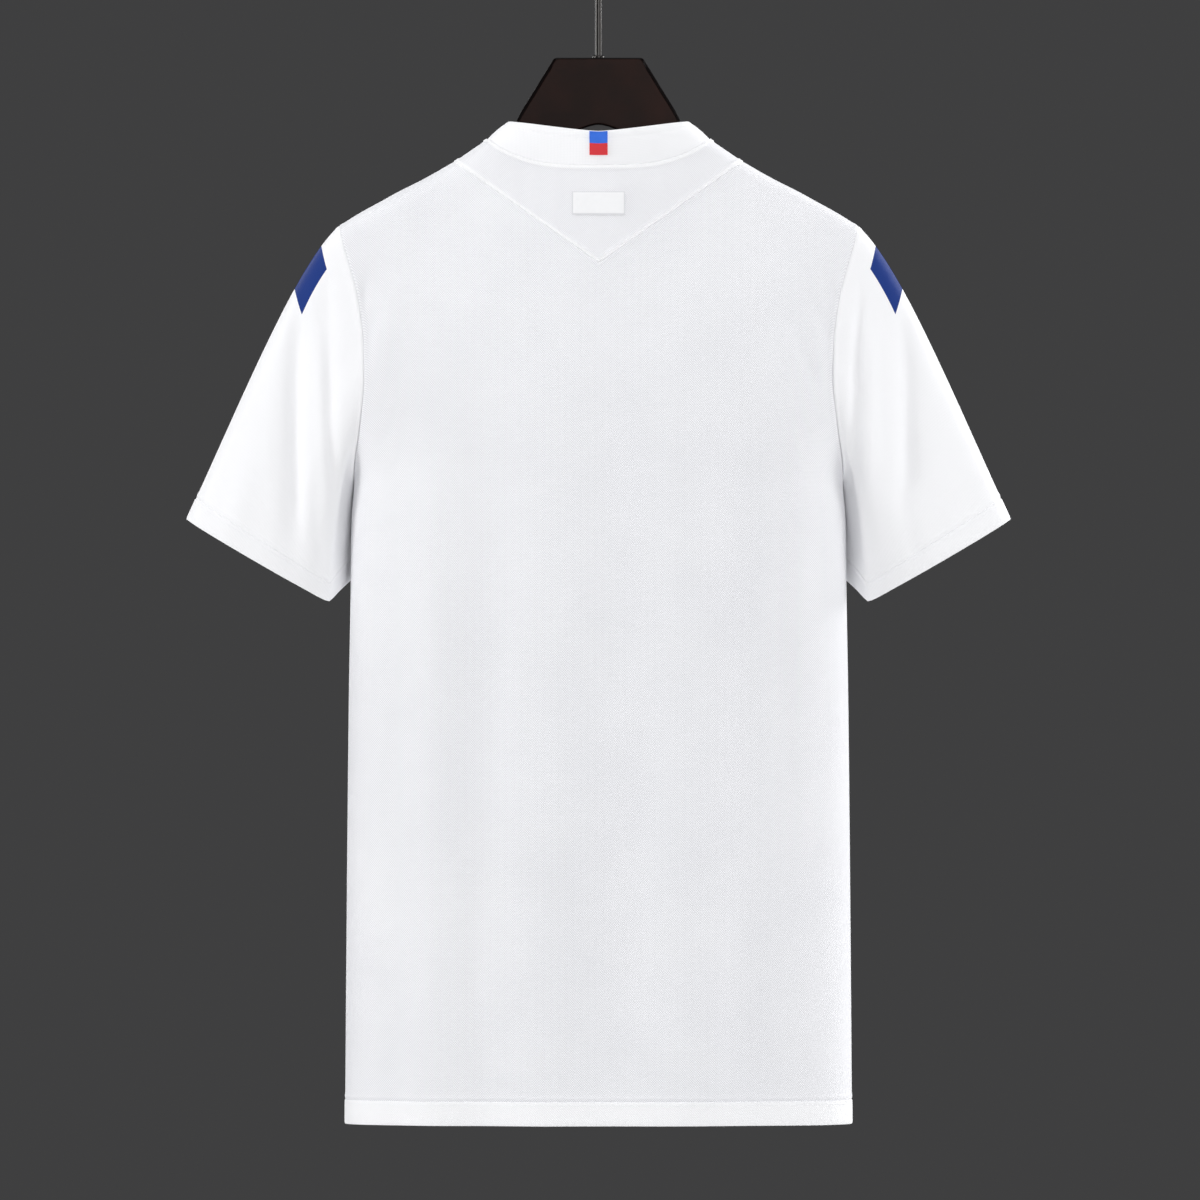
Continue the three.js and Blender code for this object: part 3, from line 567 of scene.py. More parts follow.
def stitches(line, normals):
    """Points and faces of the threads along a line; each thread is a slim spindle of 4 rings."""
    centres = resample(line, STITCH_PITCH)
    out = unit(resample(line + normals, STITCH_PITCH)[: len(centres)] - centres)
    forward = unit(np.gradient(centres, axis=0))
    side = unit(np.cross(forward, out))
    rings = []
    for place, size in STITCH_RINGS:
        lift = STITCH_LIFT - (0 if size == 1 else STITCH_SINK)
        for a, b in ((1, 0), (0, 1), (-1, 0), (0, -1)):
            ring = centres + forward * place * STITCH_LONG + side * a * size * STITCH_THICK / 2
            rings.append(ring + out * (b * size * STITCH_THICK / 2 + lift))
    points = np.stack(rings, axis=1)
    base = (np.arange(len(centres)) * 16)[:, None]
    faces = []
    for ring in range(3):
        for k in range(4):
            a, b = ring * 4 + k, ring * 4 + (k + 1) % 4
            faces.append(base + np.array([[a, b, b + 4, a + 4]]))
    faces.append(base + np.array([[3, 2, 1, 0]]))
    faces.append(base + np.array([[12, 13, 14, 15]]))
    return points.reshape(-1, 3), np.concatenate(faces)


def stitch_piece(name, lines):
    """One mesh of all the threads along the given (line, normals) pairs."""
    points, faces, start = [], [], 0
    for line, normals in lines:
        some, quads_of_some = stitches(line, normals)
        points.append(some)
        faces.append(quads_of_some + start)
        start += len(some)
    points, faces = np.concatenate(points), np.concatenate(faces)
    return new_piece(name, points, faces, None, white_thread, 80)


# Materials


class Nodes:
    """A material under construction, with short names for the nodes that this script uses."""

    def __init__(self, name):
        self.material = bpy.data.materials.new(name)
        self.material.use_nodes = True
        self.tree = self.material.node_tree
        self.shader = self.tree.nodes["Principled BSDF"]

    def add(self, kind, **values):
        node = self.tree.nodes.new(kind)
        for key, value in values.items():
            if hasattr(node, key):
                setattr(node, key, value)
            else:
                node.inputs[key.replace("_", " ")].default_value = value
        return node

    def feed(self, socket, value):
        if isinstance(value, bpy.types.NodeSocket):
            self.tree.links.new(value, socket)
        else:
            socket.default_value = value

    def math(self, operation, first, second=0.0, third=None):
        node = self.add("ShaderNodeMath", operation=operation)
        for socket, value in zip(node.inputs, (first, second, third)):
            if value is not None:
                self.feed(socket, value)
        return node.outputs[0]

    def mix(self, factor, first, second):
        node = self.add("ShaderNodeMix", data_type="RGBA")
        for index, value in ((0, factor), (6, first), (7, second)):
            self.feed(node.inputs[index], (*value, 1) if isinstance(value, tuple) else value)
        return node.outputs[2]

    def paint(self, factor, first, second):
        """Gives the shader a colour between two."""
        self.feed(self.shader.inputs["Base Color"], self.mix(factor, first, second))
        return self

    def cover(self, factor, color):
        """Lays a colour over the shader's own, as far as the factor says."""
        return self.paint(factor, self.shader.inputs["Base Color"].links[0].from_socket, color)

    def uv(self):
        separate = self.add("ShaderNodeSeparateXYZ")
        self.feed(separate.inputs[0], self.add("ShaderNodeUVMap", uv_map="cloth").outputs[0])
        return separate.outputs[0], separate.outputs[1]

    def noise(self, scale, detail=3.0, stretch=None, roughness=0.5):
        source = self.add("ShaderNodeTexCoord").outputs["Object"]
        if stretch:
            mapping = self.add("ShaderNodeMapping")
            mapping.inputs["Scale"].default_value = stretch
            self.feed(mapping.inputs[0], source)
            source = mapping.outputs[0]
        node = self.add("ShaderNodeTexNoise", Scale=scale, Detail=detail, Roughness=roughness)
        self.feed(node.inputs["Vector"], source)
        return node.outputs[0]

    def bump(self, height, strength, distance):
        node = self.add("ShaderNodeBump", Strength=strength, Distance=distance)
        self.feed(node.inputs["Height"], height)
        self.feed(self.shader.inputs["Normal"], node.outputs[0])

    def set(self, **values):
        for key, value in values.items():
            self.feed(self.shader.inputs[key.replace("_", " ")], value)
        return self


def wave(nodes, coordinate, per_cm, shift=0.0):
    """sin of a cloth coordinate, with so many waves in a centimetre."""
    turned = nodes.math("MULTIPLY_ADD", coordinate, per_cm * 2 * math.pi, shift)
    return nodes.math("SINE", turned)


def cloth_material(name, color, shade, holes, per_cm):
    """A white knit: rows of small open cells (holes = True) or fine upright ribs, over soft fuzz, with
    painted shade in the cells or between the ribs.
    """
    nodes = Nodes(name)
    u, v = nodes.uv()
    across, down = wave(nodes, u, per_cm), wave(nodes, v, per_cm * 0.92, 0.4)
    if holes:
        cells = nodes.math("MULTIPLY", across, down)
        fine = nodes.math("MULTIPLY", wave(nodes, u, per_cm * 2), 0.25)
        height = nodes.math("ADD", cells, fine)
    else:
        ribs = nodes.math("MULTIPLY", across, 0.7)
        height = nodes.math("ADD", ribs, nodes.math("MULTIPLY", down, 0.3))
    fuzz = nodes.noise(900.0, 2.0)
    surface = nodes.math("ADD", height, nodes.math("MULTIPLY", fuzz, 0.8))
    nodes.bump(surface, 0.42 if holes else 0.3, 0.0002)
    # Painted shade: the colour darkens toward the shade colour in the knit's cells and between its ribs; a
    # broad noise also makes the tone uneven.
    broad = nodes.noise(14.0, 2.0)
    low = nodes.math("MULTIPLY_ADD", height, 0.5, 0.5)
    out_of_painted_shade = nodes.math("MULTIPLY_ADD", broad, 0.25, nodes.math("MULTIPLY", low, 0.85))
    nodes.shader.inputs["Base Color"].default_value = (*color, 1)
    nodes.paint(out_of_painted_shade, shade, color)
    return nodes.set(Roughness=0.82, Sheen_Weight=0.12, Sheen_Roughness=0.5, Specular_IOR_Level=0.25)


def with_bar(nodes):
    """Adds the plain printed bar to a sleeve's cloth."""
    u, v = nodes.uv()
    low = nodes.math("GREATER_THAN", v, BAR_FROM / 10)
    high = nodes.math("LESS_THAN", v, BAR_TO / 10)
    near = nodes.math("LESS_THAN", nodes.math("ABSOLUTE", u), BAR_HALF / 10)
    return nodes.cover(nodes.math("MULTIPLY", nodes.math("MULTIPLY", low, high), near), NAVY)


def with_strip(nodes):
    """Lightens the smooth strips along seams, where the mesh "strip" attribute is 1."""
    strip = nodes.add("ShaderNodeAttribute", attribute_name="strip").outputs["Fac"]
    return nodes.cover(strip, STRIP_WHITE)


def with_hem(nodes):
    """Lightens the hem of a body panel, where the knit lies double and the painted shade of its cells shows
    less.
    """
    hem = nodes.math("GREATER_THAN", nodes.uv()[1], -HEM_BAND / 10)
    return nodes.cover(nodes.math("MULTIPLY", hem, HEM_COVER), HEM_WHITE)


WHITE = (0.95, 0.952, 0.968)
# Painted shade colour of the mesh knit's open cells
WHITE_PAINTED_SHADE = (0.61, 0.615, 0.66)
HEM_WHITE = (0.92, 0.922, 0.936)
STRIP_WHITE = (0.91, 0.912, 0.926)
SMOOTH_WHITE = (0.92, 0.922, 0.938)
# Painted shade colour between the smooth knit's ribs
SMOOTH_PAINTED_SHADE = (0.84, 0.843, 0.868)
HEM_COVER = 0.75
THREAD_SHADE, THREAD_WHITE = (0.8, 0.81, 0.84), (0.92, 0.925, 0.95)
PATCH_SHADE, PATCH_WHITE, PATCH_EDGE = (0.81, 0.813, 0.83), (0.855, 0.858, 0.872), (0.68, 0.684, 0.71)
NAVY = (0.006, 0.032, 0.2)
BLUE = (0.012, 0.15, 0.78)
RED = (0.72, 0.012, 0.02)
RIB_PAINTED_SHADE = (0.01, 0.01, 0.03)
WOOD_DARK, WOOD_LIGHT = (0.0032, 0.0013, 0.001), (0.014, 0.0055, 0.0038)
# The last wood colour here is painted shade for the hanger's bevels and edges; the two numbers on the next
# line set where it starts and how fast it darkens.
WOOD_PATCH, WOOD_PORE, WOOD_PAINTED_SHADE = (0.021, 0.0066, 0.0044), (0.004, 0.002, 0.002), (0.003, 0.002, 0.002)
PAINTED_SHADE_FACING_LIMIT, PAINTED_SHADE_RISE = 0.93, 6.0
WIRE_DARK, WIRE_LIGHT = (0.028, 0.027, 0.026), (0.045, 0.043, 0.042)

# Cells or ribs in a centimetre of each knit
MESH_CELLS, YOKE_CELLS, SMOOTH_RIBS = 5.8, 7.0, 9.0


def mesh_knit(name, cells):
    return cloth_material(name, WHITE, WHITE_PAINTED_SHADE, True, cells)


def smooth_knit(name):
    return cloth_material(name, SMOOTH_WHITE, SMOOTH_PAINTED_SHADE, False, SMOOTH_RIBS)


mesh_cloth = with_strip(with_hem(mesh_knit("mesh_cloth", MESH_CELLS))).material
smooth_cloth = smooth_knit("smooth_cloth").material
yoke_cloth = with_strip(mesh_knit("yoke_cloth", YOKE_CELLS)).material
sleeve_cloth = with_bar(smooth_knit("sleeve_cloth")).material


def thread_material():
    nodes = Nodes("white_thread")
    twist = nodes.noise(2500.0, 1.0)
    nodes.bump(twist, 0.3, 0.0001)
    nodes.paint(twist, THREAD_SHADE, THREAD_WHITE)
    return nodes.set(Roughness=0.55, Sheen_Weight=0.1).material


def patch_material():
    """A smooth blank patch with a thin pressed border."""
    nodes = Nodes("patch_print")
    grain = nodes.noise(260.0, 3.0)
    nodes.bump(grain, 0.12, 0.0002)
    nodes.paint(grain, PATCH_SHADE, PATCH_WHITE)
    u, v = nodes.uv()
    from_side = nodes.math("SUBTRACT", PATCH_HALF / 10, nodes.math("ABSOLUTE", u))
    from_low = nodes.math("SUBTRACT", (PATCH_TOP_Z - PATCH_LOW_Z) / 10, v)
    from_edge = nodes.math("MINIMUM", from_side, nodes.math("MINIMUM", v, from_low))
    nodes.cover(nodes.math("LESS_THAN", from_edge, PATCH_BORDER / 10), PATCH_EDGE)
    return nodes.set(Roughness=0.6, Specular_IOR_Level=0.3).material


def tab_material():
    """A woven ribbon in two plain bands, one above the other, with painted shade in the rhythm of its ribs.
    """
    nodes = Nodes("tab_ribbon")
    u, v = nodes.uv()
    lower = nodes.math("GREATER_THAN", v, TAB_BAND / 10)
    ribs = nodes.math("MULTIPLY_ADD", wave(nodes, v, 22.0), 0.5, 0.5)
    weave = nodes.math("MULTIPLY_ADD", wave(nodes, u, 16.0), 0.15, ribs)
    nodes.bump(weave, 0.5, 0.00015)
    nodes.paint(lower, BLUE, RED)
    # Painted shade: the ribbon darkens following the wave of its ribs.
    nodes.cover(nodes.math("MULTIPLY", ribs, 0.25), RIB_PAINTED_SHADE)
    return nodes.set(Roughness=0.6, Sheen_Weight=0.15).material


def wood_material():
    """Dark stained wood under lacquer, with painted shade on its bevels and edges wherever the surface
    turns away from facing straight back or front.
    """
    nodes = Nodes("dark_wood")
    bend = nodes.noise(9.0, 2.0)
    grain = nodes.noise(30.0, 6.0, stretch=(1.0, 5.0, 5.5), roughness=0.62)
    pores = nodes.noise(320.0, 2.0, stretch=(0.5, 6.0, 9.0))
    streak = nodes.math("MULTIPLY_ADD", bend, 0.35, nodes.math("MULTIPLY", grain, 0.8))
    nodes.paint(streak, WOOD_DARK, WOOD_LIGHT)
    pore = nodes.math("GREATER_THAN", pores, 0.66)
    nodes.cover(nodes.math("MULTIPLY", pore, 0.45), WOOD_PORE)
    patches = nodes.noise(34.0, 3.0, stretch=(1.0, 1.0, 0.7))
    nodes.cover(nodes.math("MULTIPLY", nodes.math("SUBTRACT", patches, 0.42), 2.2), WOOD_PATCH)
    # Painted shade: the wood darkens where its normal turns away from the back-front axis, on its bevels
    # and edges.
    facing = nodes.add("ShaderNodeSeparateXYZ")
    nodes.feed(facing.inputs[0], nodes.add("ShaderNodeNewGeometry").outputs["Normal"])
    turned = nodes.math("SUBTRACT", PAINTED_SHADE_FACING_LIMIT, nodes.math("ABSOLUTE", facing.outputs[1]))
    nodes.cover(nodes.math("MULTIPLY", turned, PAINTED_SHADE_RISE), WOOD_PAINTED_SHADE)
    nodes.bump(nodes.math("SUBTRACT", grain, nodes.math("MULTIPLY", pore, 0.3)), 0.12, 0.0004)
    nodes.set(Roughness=nodes.math("MULTIPLY_ADD", grain, 0.2, 0.24))
    return nodes.set(Coat_Weight=0.04, Coat_Roughness=0.25, Specular_IOR_Level=0.02).material


def chrome_material():
    nodes = Nodes("hook_chrome")
    brushed = nodes.noise(40.0, 2.0, stretch=(1.0, 1.0, 0.3))
    nodes.paint(brushed, WIRE_DARK, WIRE_LIGHT)
    return nodes.set(Metallic=1.0, Roughness=nodes.math("MULTIPLY_ADD", brushed, 0.03, 0.27)).material


white_thread = thread_material()
patch_print = patch_material()
tab_ribbon = tab_material()
dark_wood = wood_material()
hook_chrome = chrome_material()


# Body panels


# Ridges and grooves: height, distance from the edge or seam, and width
HEM_RIDGE, HEM_GROOVE, HEM_EDGE = (0.4, 2.6, 1.3), (-0.35, 0, 0.45), (-0.35, 0, 0.8)
SEAM_SWELL, SEAM_DIP, SIDE_DIP = (0.3, 2.2, 1.5), (-0.16, 0, 0.6), (-0.2, 0, 0.7)
NECK_SEAM_MORE = 1.15

# Smooth strips along seams: strength, width and fade
NECK_STRIP, TAPE_STRIP, POINT_STRIP = (0.5, 0.9, 0.9), (1, 2.8, 1.2), (0.75, 2.2, 0.8)


def hem_relief(from_hem, band):
    """Raised hem band, the small ridge above it and the groove where it is sewn."""
    raised = BAND_RAISE * (1 - ease((from_hem - band + 0.4) / 0.8))
    above = from_hem - band
    return raised + ridge(above, HEM_RIDGE) + ridge(above, HEM_GROOVE) + ridge(from_hem, HEM_EDGE)


def seam_relief(from_seam):
    """The cloth swells beside a sewn seam and dips into it."""
    return ridge(from_seam, SEAM_SWELL) + ridge(from_seam, SEAM_DIP)


def strip_along(distance, strip):
    strength, width, fade = strip
    return strength - strength * ease((distance - width) / fade)


def leave_gap(grid, edge, beside):
    """Moves a grid's edge row half a seam's gap toward the row beside it."""
    return grid[edge] + unit(grid[beside] - grid[edge]) * (SEAM_GAP / 2)


def panel_relief(grid, drops, neck_columns):
    """Relief of a body panel: its hem, and the seams at its top, sides and armholes."""
    from_side = lengths(grid, 1)
    from_side = np.minimum(from_side, from_side[:, -1:] - from_side)
    below = (drops > EDGE_DROP)[:, None]
    side = np.where(below, ridge(from_side, SIDE_DIP), seam_relief(from_side))
    relief = side + hem_relief(HEM_DROP - drops, HEM_BAND)[:, None]
    return relief + np.where(neck_columns, NECK_SEAM_MORE * seam_relief(lengths(grid, 0)), 0)


def make_panel(side, parts, top_edge, corner_x, name):
    drops = spread_rows()
    top = top_edge(parts * ARMHOLE_TOP_X)
    count = len(parts) // 2
    even = bowed(np.arange(-count, count + 1) / count, LOW_BOW)
    grid = panel_point(side, parts[None, :], drops[:, None], top[None, :], even[None, :])
    near = np.abs(parts) * ARMHOLE_TOP_X <= corner_x + 0.01
    grid[0] = np.where(near[:, None], leave_gap(grid, 0, 1), grid[0])
    relief = panel_relief(grid, drops, near[None, :])
    strip = np.where(near[None, :], strip_along(lengths(grid, 0), NECK_STRIP), 0)
    piece = cloth_piece(
        name, grid, CLOTH, mesh_cloth, relief=relief, level="last row", strip=strip
    )
    return piece, grid, drops, relief


def back_top_edge(x):
    return np.where(np.abs(x) < YOKE_SIDE_X, yoke_seam_z(x), shoulder_z(x))


def front_top_edge(x):
    return np.where(np.abs(x) < NECK_X - 0.001, neck_front_z(x), shoulder_z(x))


even_steps = np.arange(44) / 44
back_parts = spread_columns(YOKE_SIDE_X, even_steps)
front_parts = spread_columns(NECK_X, bowed(even_steps, NECK_BOW))
back_piece, back_grid, drops, back_relief = make_panel(
    "back", back_parts, back_top_edge, YOKE_SIDE_X, "jersey_back"
)
front_piece, front_grid, _, front_relief = make_panel(
    "front", front_parts, front_top_edge, NECK_X, "jersey_front"
)
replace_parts(back_piece, "back_panel")
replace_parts(front_piece, "front_panel")


# Yoke


# Tape along the neck and raised band along the point: height, width and how softly they end
TAPE_HEIGHT, TAPE_WIDTH, TAPE_END = 0.85, 3.4, 1.1
BAND_HEIGHT, BAND_WIDTH, BAND_END = 0.6, 3.2, 0.8
BAND_START = 0.7
BAND_GROOVE = (-0.3, 1.7, 0.5)


def make_yoke():
    columns = back_parts[np.abs(back_parts) * ARMHOLE_TOP_X <= YOKE_SIDE_X + 0.01]
    part = columns * ARMHOLE_TOP_X / YOKE_SIDE_X
    close = np.array([0, 0.01, 0.02, 0.03, 0.04, 0.05, 0.065, 0.085, 0.11])
    rows = np.concatenate([close, np.linspace(0.14, 0.86, 26), 1 - close[::-1]])
    neck_x, seam_x = NECK_X * bowed(part, math.pi / 2), YOKE_SIDE_X * part
    x = mix(neck_x[None, :], seam_x[None, :], rows[:, None])
    z = mix(neck_back_z(neck_x)[None, :], yoke_seam_z(seam_x)[None, :], rows[:, None])
    z[:, [0, -1]] = shoulder_z(x[:, [0, -1]])
    grid = body_point("back", x, z)
    from_neck = lengths(grid, 0)
    slant = math.cos(math.atan2(shoulder_z(YOKE_SIDE_X) - YOKE_POINT_Z, YOKE_SIDE_X))
    from_point = (from_neck[-1:] - from_neck) * slant
    tape = TAPE_HEIGHT * (ease(from_neck / BAND_START) - ease((from_neck - TAPE_WIDTH) / TAPE_END))
    band = BAND_HEIGHT * (ease(from_point / BAND_START) - ease((from_point - BAND_WIDTH) / BAND_END))
    grid[0] = leave_gap(grid, 0, 1)
    grid[-1] = leave_gap(grid, -1, -2)
    relief = tape + band + ridge(from_point, BAND_GROOVE)
    strip = np.maximum(strip_along(from_neck, TAPE_STRIP), strip_along(from_point, POINT_STRIP))
    piece = cloth_piece(
        "jersey_yoke", grid, CLOTH, yoke_cloth, relief=relief, level="height", strip=strip
    )
    return piece, grid, from_neck, from_point, relief


yoke_piece, yoke_grid, yoke_from_neck, yoke_from_point, yoke_relief = make_yoke()
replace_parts(yoke_piece, "back_yoke")


# Collar


def collar_lines(angle):
    """The collar's seam and its top edge, at angles from the middle of the back."""
    back = np.cos(angle) >= -1e-9
    swing = np.sin(angle)
    depth = np.abs(np.cos(angle)) ** 0.85
    seam_x = NECK_X * swing
    seam_z = np.where(back, neck_back_z(seam_x), neck_front_z(seam_x))
    seam_z = np.minimum(seam_z, shoulder_z(seam_x))
    seam = np.where(
        back[:, None], body_point("back", seam_x, seam_z), body_point("front", seam_x, seam_z)
    )
    back_z = mix(TOP_BACK_Z, TOP_Z, np.abs(swing) ** 1.3)
    front_z = mix(TOP_Z, TOP_FRONT_Z, depth)
    top_y = np.where(back, TOP_BACK_Y * depth, -TOP_FRONT_Y * depth)
    top = np.stack([TOP_X * swing, top_y, np.where(back, back_z, front_z)], axis=-1)
    return seam, top


COLLAR_TURNS = 176
COLLAR_UP = np.array([
    0, 0.02, 0.05, 0.1, 0.2, 0.32, 0.45, 0.58, 0.68, 0.74, 0.77, 0.8, 0.84, 0.9, 0.95, 0.985, 1,
])
COLLAR_HEIGHT, COLLAR_SWELL, COLLAR_SEWN = 24, 0.95, 0.77
COLLAR_GROOVE = (-0.28, 0, 0.6)
EDGE_FROM, EDGE_LONG, EDGE_SINK, EDGE_THINNER = 0.93, 0.07, 0.75, 0.7


def make_collar():
    seam, top = collar_lines(np.arange(COLLAR_TURNS) / COLLAR_TURNS * 2 * math.pi)
    grid = mix(seam[None], top[None], COLLAR_UP[:, None, None])
    grid[0] = leave_gap(grid, 0, 1)
    swell = COLLAR_SWELL * np.sin(COLLAR_UP * math.pi) ** 0.6
    sewn = ridge((COLLAR_UP - COLLAR_SEWN) * COLLAR_HEIGHT, COLLAR_GROOVE)
    edge = np.maximum(0, (COLLAR_UP - EDGE_FROM) / EDGE_LONG) ** 2
    relief = (swell + sewn - EDGE_SINK * edge)[:, None]
    wall = (COLLAR_WALL - EDGE_THINNER * edge)[:, None]
    piece = cloth_piece("jersey_collar", grid, wall, smooth_cloth, True, relief)
    return piece, grid, relief


collar_piece, collar_grid, collar_relief = make_collar()
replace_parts(collar_piece, "collar_band")


# Sleeves


SLEEVE_STEPS = 52
CUFF_ROWS_FROM = 22
INSIDE_PART = 0.992
ARMPIT_LEAVES = np.array((1, 0, -0.3))
GAP_OPENS = 0.1
SWELL_LONG, SWELL_FADE = 5, 4


def make_sleeve(side):
    """A sleeve from the armhole to the cuff, around the back and then the front."""
    sign = 1 if side == "left" else -1
    edge = EDGE_DROP * (1 - np.cos(math.pi * np.arange(SLEEVE_STEPS + 1) / SLEEVE_STEPS)) / 2
    rows_before = np.concatenate([[0, 0.006, 0.013, 0.022, 0.034], np.linspace(0.05, 0.965, 62)])
    above = np.array([20.5, 19, 17.6, 16.8, 16, 15.2, 14.6, 14.2, 13.8, 13, 11, 7.5, 4, 1.6, 0.6, 0])
    parts, out = [], []
    for cloth, drop in (("back", edge), ("front", edge[-2:0:-1])):
        along = drop / EDGE_DROP
        here = panel_point(cloth, 1.0, drop, ARMHOLE_TOP_Z)
        inside = panel_point(cloth, INSIDE_PART, drop, shoulder_z(INSIDE_PART * ARMHOLE_TOP_X))
        away = np.where((along > 0.999)[:, None], unit(ARMPIT_LEAVES), unit(here - inside))
        start = here + away * (SEAM_GAP + GAP_OPENS * along)[:, None]
        middle = (along < 0.001) | (along > 0.999)
        start[:, 1] = np.where(middle, 0, start[:, 1])
        end = np.stack([curve(CUFF[cloth], "along", axis)(along) for axis in "xyz"], axis=-1)
        tuck = ease((along - TUCK_FROM) / (1 - TUCK_FROM))[:, None]
        leave, arrive = (
            mix(outer, inner, along[:, None]) + tucked * tuck
            for outer, inner, tucked in (SLEEVE_LEAVES, SLEEVE_ENDS)
        )
        long = np.linalg.norm(end - start, axis=-1)
        last = 1 - CUFF_ROWS_FROM / long
        t = np.concatenate([rows_before[:, None] * last[None, :], 1 - above[:, None] / long[None, :]])
        points = hermite(start[None], leave[None], end[None], arrive[None], t[..., None])
        x, z = points[..., 0], points[..., 2]
        soft = np.sqrt(np.maximum(0, 4 * along * (1 - along)))[None, :] * ease(t / 0.2)
        fold = fold_height(SLEEVE_FOLDS[side, cloth], x, z)
        fold = fold + crease_height(SLEEVE_CREASES[side, cloth], x, z)
        fold = (fold + drift(x, z, DRIFT_START["sleeve"] * sign)) * soft
        points[..., 1] += fold if cloth == "back" else -fold
        points[..., 0] *= sign
        parts.append(points)
        from_cuff = (1 - t) * long[None, :]
        out.append(hem_relief(from_cuff, CUFF_BAND))
    grid = np.concatenate(parts, axis=1)
    from_seam = lengths(grid, 0)
    fade = 1 - ease((from_seam - SWELL_LONG) / SWELL_FADE)
    relief = np.concatenate(out, axis=1) + seam_relief(from_seam) * fade
    name = f"jersey_sleeve_{side}"
    piece = cloth_piece(name, grid, CLOTH, sleeve_cloth, True, relief)
    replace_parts(piece, f"sleeve_{side}")
    return piece, grid, relief, len(rows_before), above


sleeves = {side: make_sleeve(side) for side in ("left", "right")}


# Patch and tab


def lifted(grid, lift):
    return grid + grid_normals(grid, False) * lift


def make_patch():
    x = np.linspace(-PATCH_HALF, PATCH_HALF, 33)
    z = np.linspace(PATCH_TOP_Z, PATCH_LOW_Z, 15)
    grid = lifted(body_point("back", x[None, :], z[:, None]), TRIM_LIFT + PATCH_WALL)
    edge_x = np.minimum(x + PATCH_HALF, PATCH_HALF - x)[None, :]
    edge_z = np.minimum(PATCH_TOP_Z - z, z - PATCH_LOW_Z)[:, None]
    relief = ridge(np.minimum(edge_x, edge_z), PATCH_PRESSED)
    piece = cloth_piece("back_patch_print", grid, PATCH_WALL, patch_print, relief=relief)
    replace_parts(piece, "back_patch")
    return piece, grid


def make_tab():
    up = np.linspace(TAB_TOP, TAB_LOW, 22)
    swing = np.linspace(-1, 1, 13)
    seam, top = collar_lines(np.arcsin(swing * TAB_HALF / TOP_X * TAB_SPREAD))
    grid = mix(seam[None], top[None], up[:, None, None])
    grid[..., 0] = (swing * TAB_HALF)[None, :]
    grid = lifted(grid, TRIM_LIFT + TAB_WALL + TAB_OVER)
    piece = cloth_piece("neck_tab_ribbon", grid, TAB_WALL, tab_ribbon)
    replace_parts(piece, "neck_tab")
    return piece, grid


patch_piece, patch_grid = make_patch()
tab_piece, tab_grid = make_tab()


# Stitching: the distances of its rows from the hem, the cuff, the yoke's point and the neck
HEM_ROWS, CUFF_ROWS, POINT_ROWS, NECK_ROWS = (15.4, 17.4), (11.6, 13.5), (0.75, 2.5), (0.9, 3.0)


def raised_line(grid, relief, row, closed=False, columns=slice(None)):
    """A line along a row of a raised grid, at a fractional row number, with the directions out."""
    normals = grid_normals(grid, closed)
    surface = grid + normals * np.broadcast_to(relief, grid.shape[:2])[..., None]
    low = int(row)
    line = mix(surface[low], surface[low + 1], row - low)[columns]
    out = mix(normals[low], normals[low + 1], row - low)[columns]
    if closed:
        line, out = np.concatenate([line, line[:1]]), np.concatenate([out, out[:1]])
    return line, unit(out)


def row_at(distances, distance):
    """Fractional row number where a rising row of distances reaches a distance."""
    return float(np.interp(distance, distances, np.arange(len(distances))))


def raised_lines(grid, relief, rows, trim=0):
    """Lines along several rows of a raised grid: all round, or trimmed by some columns at both ends."""
    columns = slice(trim, -trim or None)
    return [raised_line(grid, relief, row, not trim, columns) for row in rows]


def yoke_lines():
    middle = yoke_grid.shape[1] // 2
    up = yoke_from_point[::-1, middle]
    point = [len(yoke_grid) - 1 - row_at(up, distance) for distance in POINT_ROWS]
    neck = [row_at(yoke_from_neck[:, middle], distance) for distance in NECK_ROWS]
    return raised_lines(yoke_grid, yoke_relief, point, 2) + raised_lines(yoke_grid, yoke_relief, neck, 3)


def cuff_lines(grid, relief, first, above):
    rows = [first + row_at(above[0] - above, above[0] - from_cuff) for from_cuff in CUFF_ROWS]
    return raised_lines(grid, relief, rows)


hem_rows = [row_at(drops, HEM_DROP - from_hem) for from_hem in HEM_ROWS]
hem_lines = raised_lines(back_grid, back_relief, hem_rows, 3)
hem_lines += raised_lines(front_grid, front_relief, hem_rows, 3)
collar_row = row_at(COLLAR_UP, COLLAR_SEWN)
hem_threads = stitch_piece("hem_stitching", hem_lines)
yoke_threads = stitch_piece("yoke_stitching", yoke_lines())
collar_threads = stitch_piece("collar_stitching", raised_lines(collar_grid, collar_relief, [collar_row]))
sleeve_threads = {
    side: stitch_piece(f"sleeve_stitching_{side}", cuff_lines(*made[1:])) for side, made in sleeves.items()
}


# Hanger


def hanger_top(x):
    away = np.abs(x)
    carved = curve(HANGER_TOP, "x", "z")(away)
    return np.where(away < HANGER_TOP["x"][-1], carved, shoulder_z(away) - HANGER_UNDER_CLOTH)


def steepness(x):
    """How much longer the hanger's top edge is than its width near x, which widens its bevel there."""
    near = x + np.linspace(-STEEP_REACH, STEEP_REACH, 13)
    slope = np.gradient(hanger_top(near), near)
    return float(np.minimum(np.sqrt(1 + slope * slope), STEEPEST).mean())


def bevel(side, level, cut_y, cut_z, soft):
    """Half an edge of a section: from a flat side, over a soft-edged bevel, to a flat top."""
    low, high = np.array((side, level - cut_z)), np.array((side - cut_y, level))
    ends = (low - (0, soft + 0.5), low, high), (low, high, high - (soft + 0.5, 0))
    points = [low - (0, soft + 0.5)]
    for before, at, after in ends:
        into = at + unit(before - at) * soft
        out = at + unit(after - at) * soft
        for t in (0, 0.33, 0.67, 1):
            points.append(mix(mix(into, at, t), mix(at, out, t), t))
    points.append(high - (soft + 0.5, 0))
    return np.array(points)


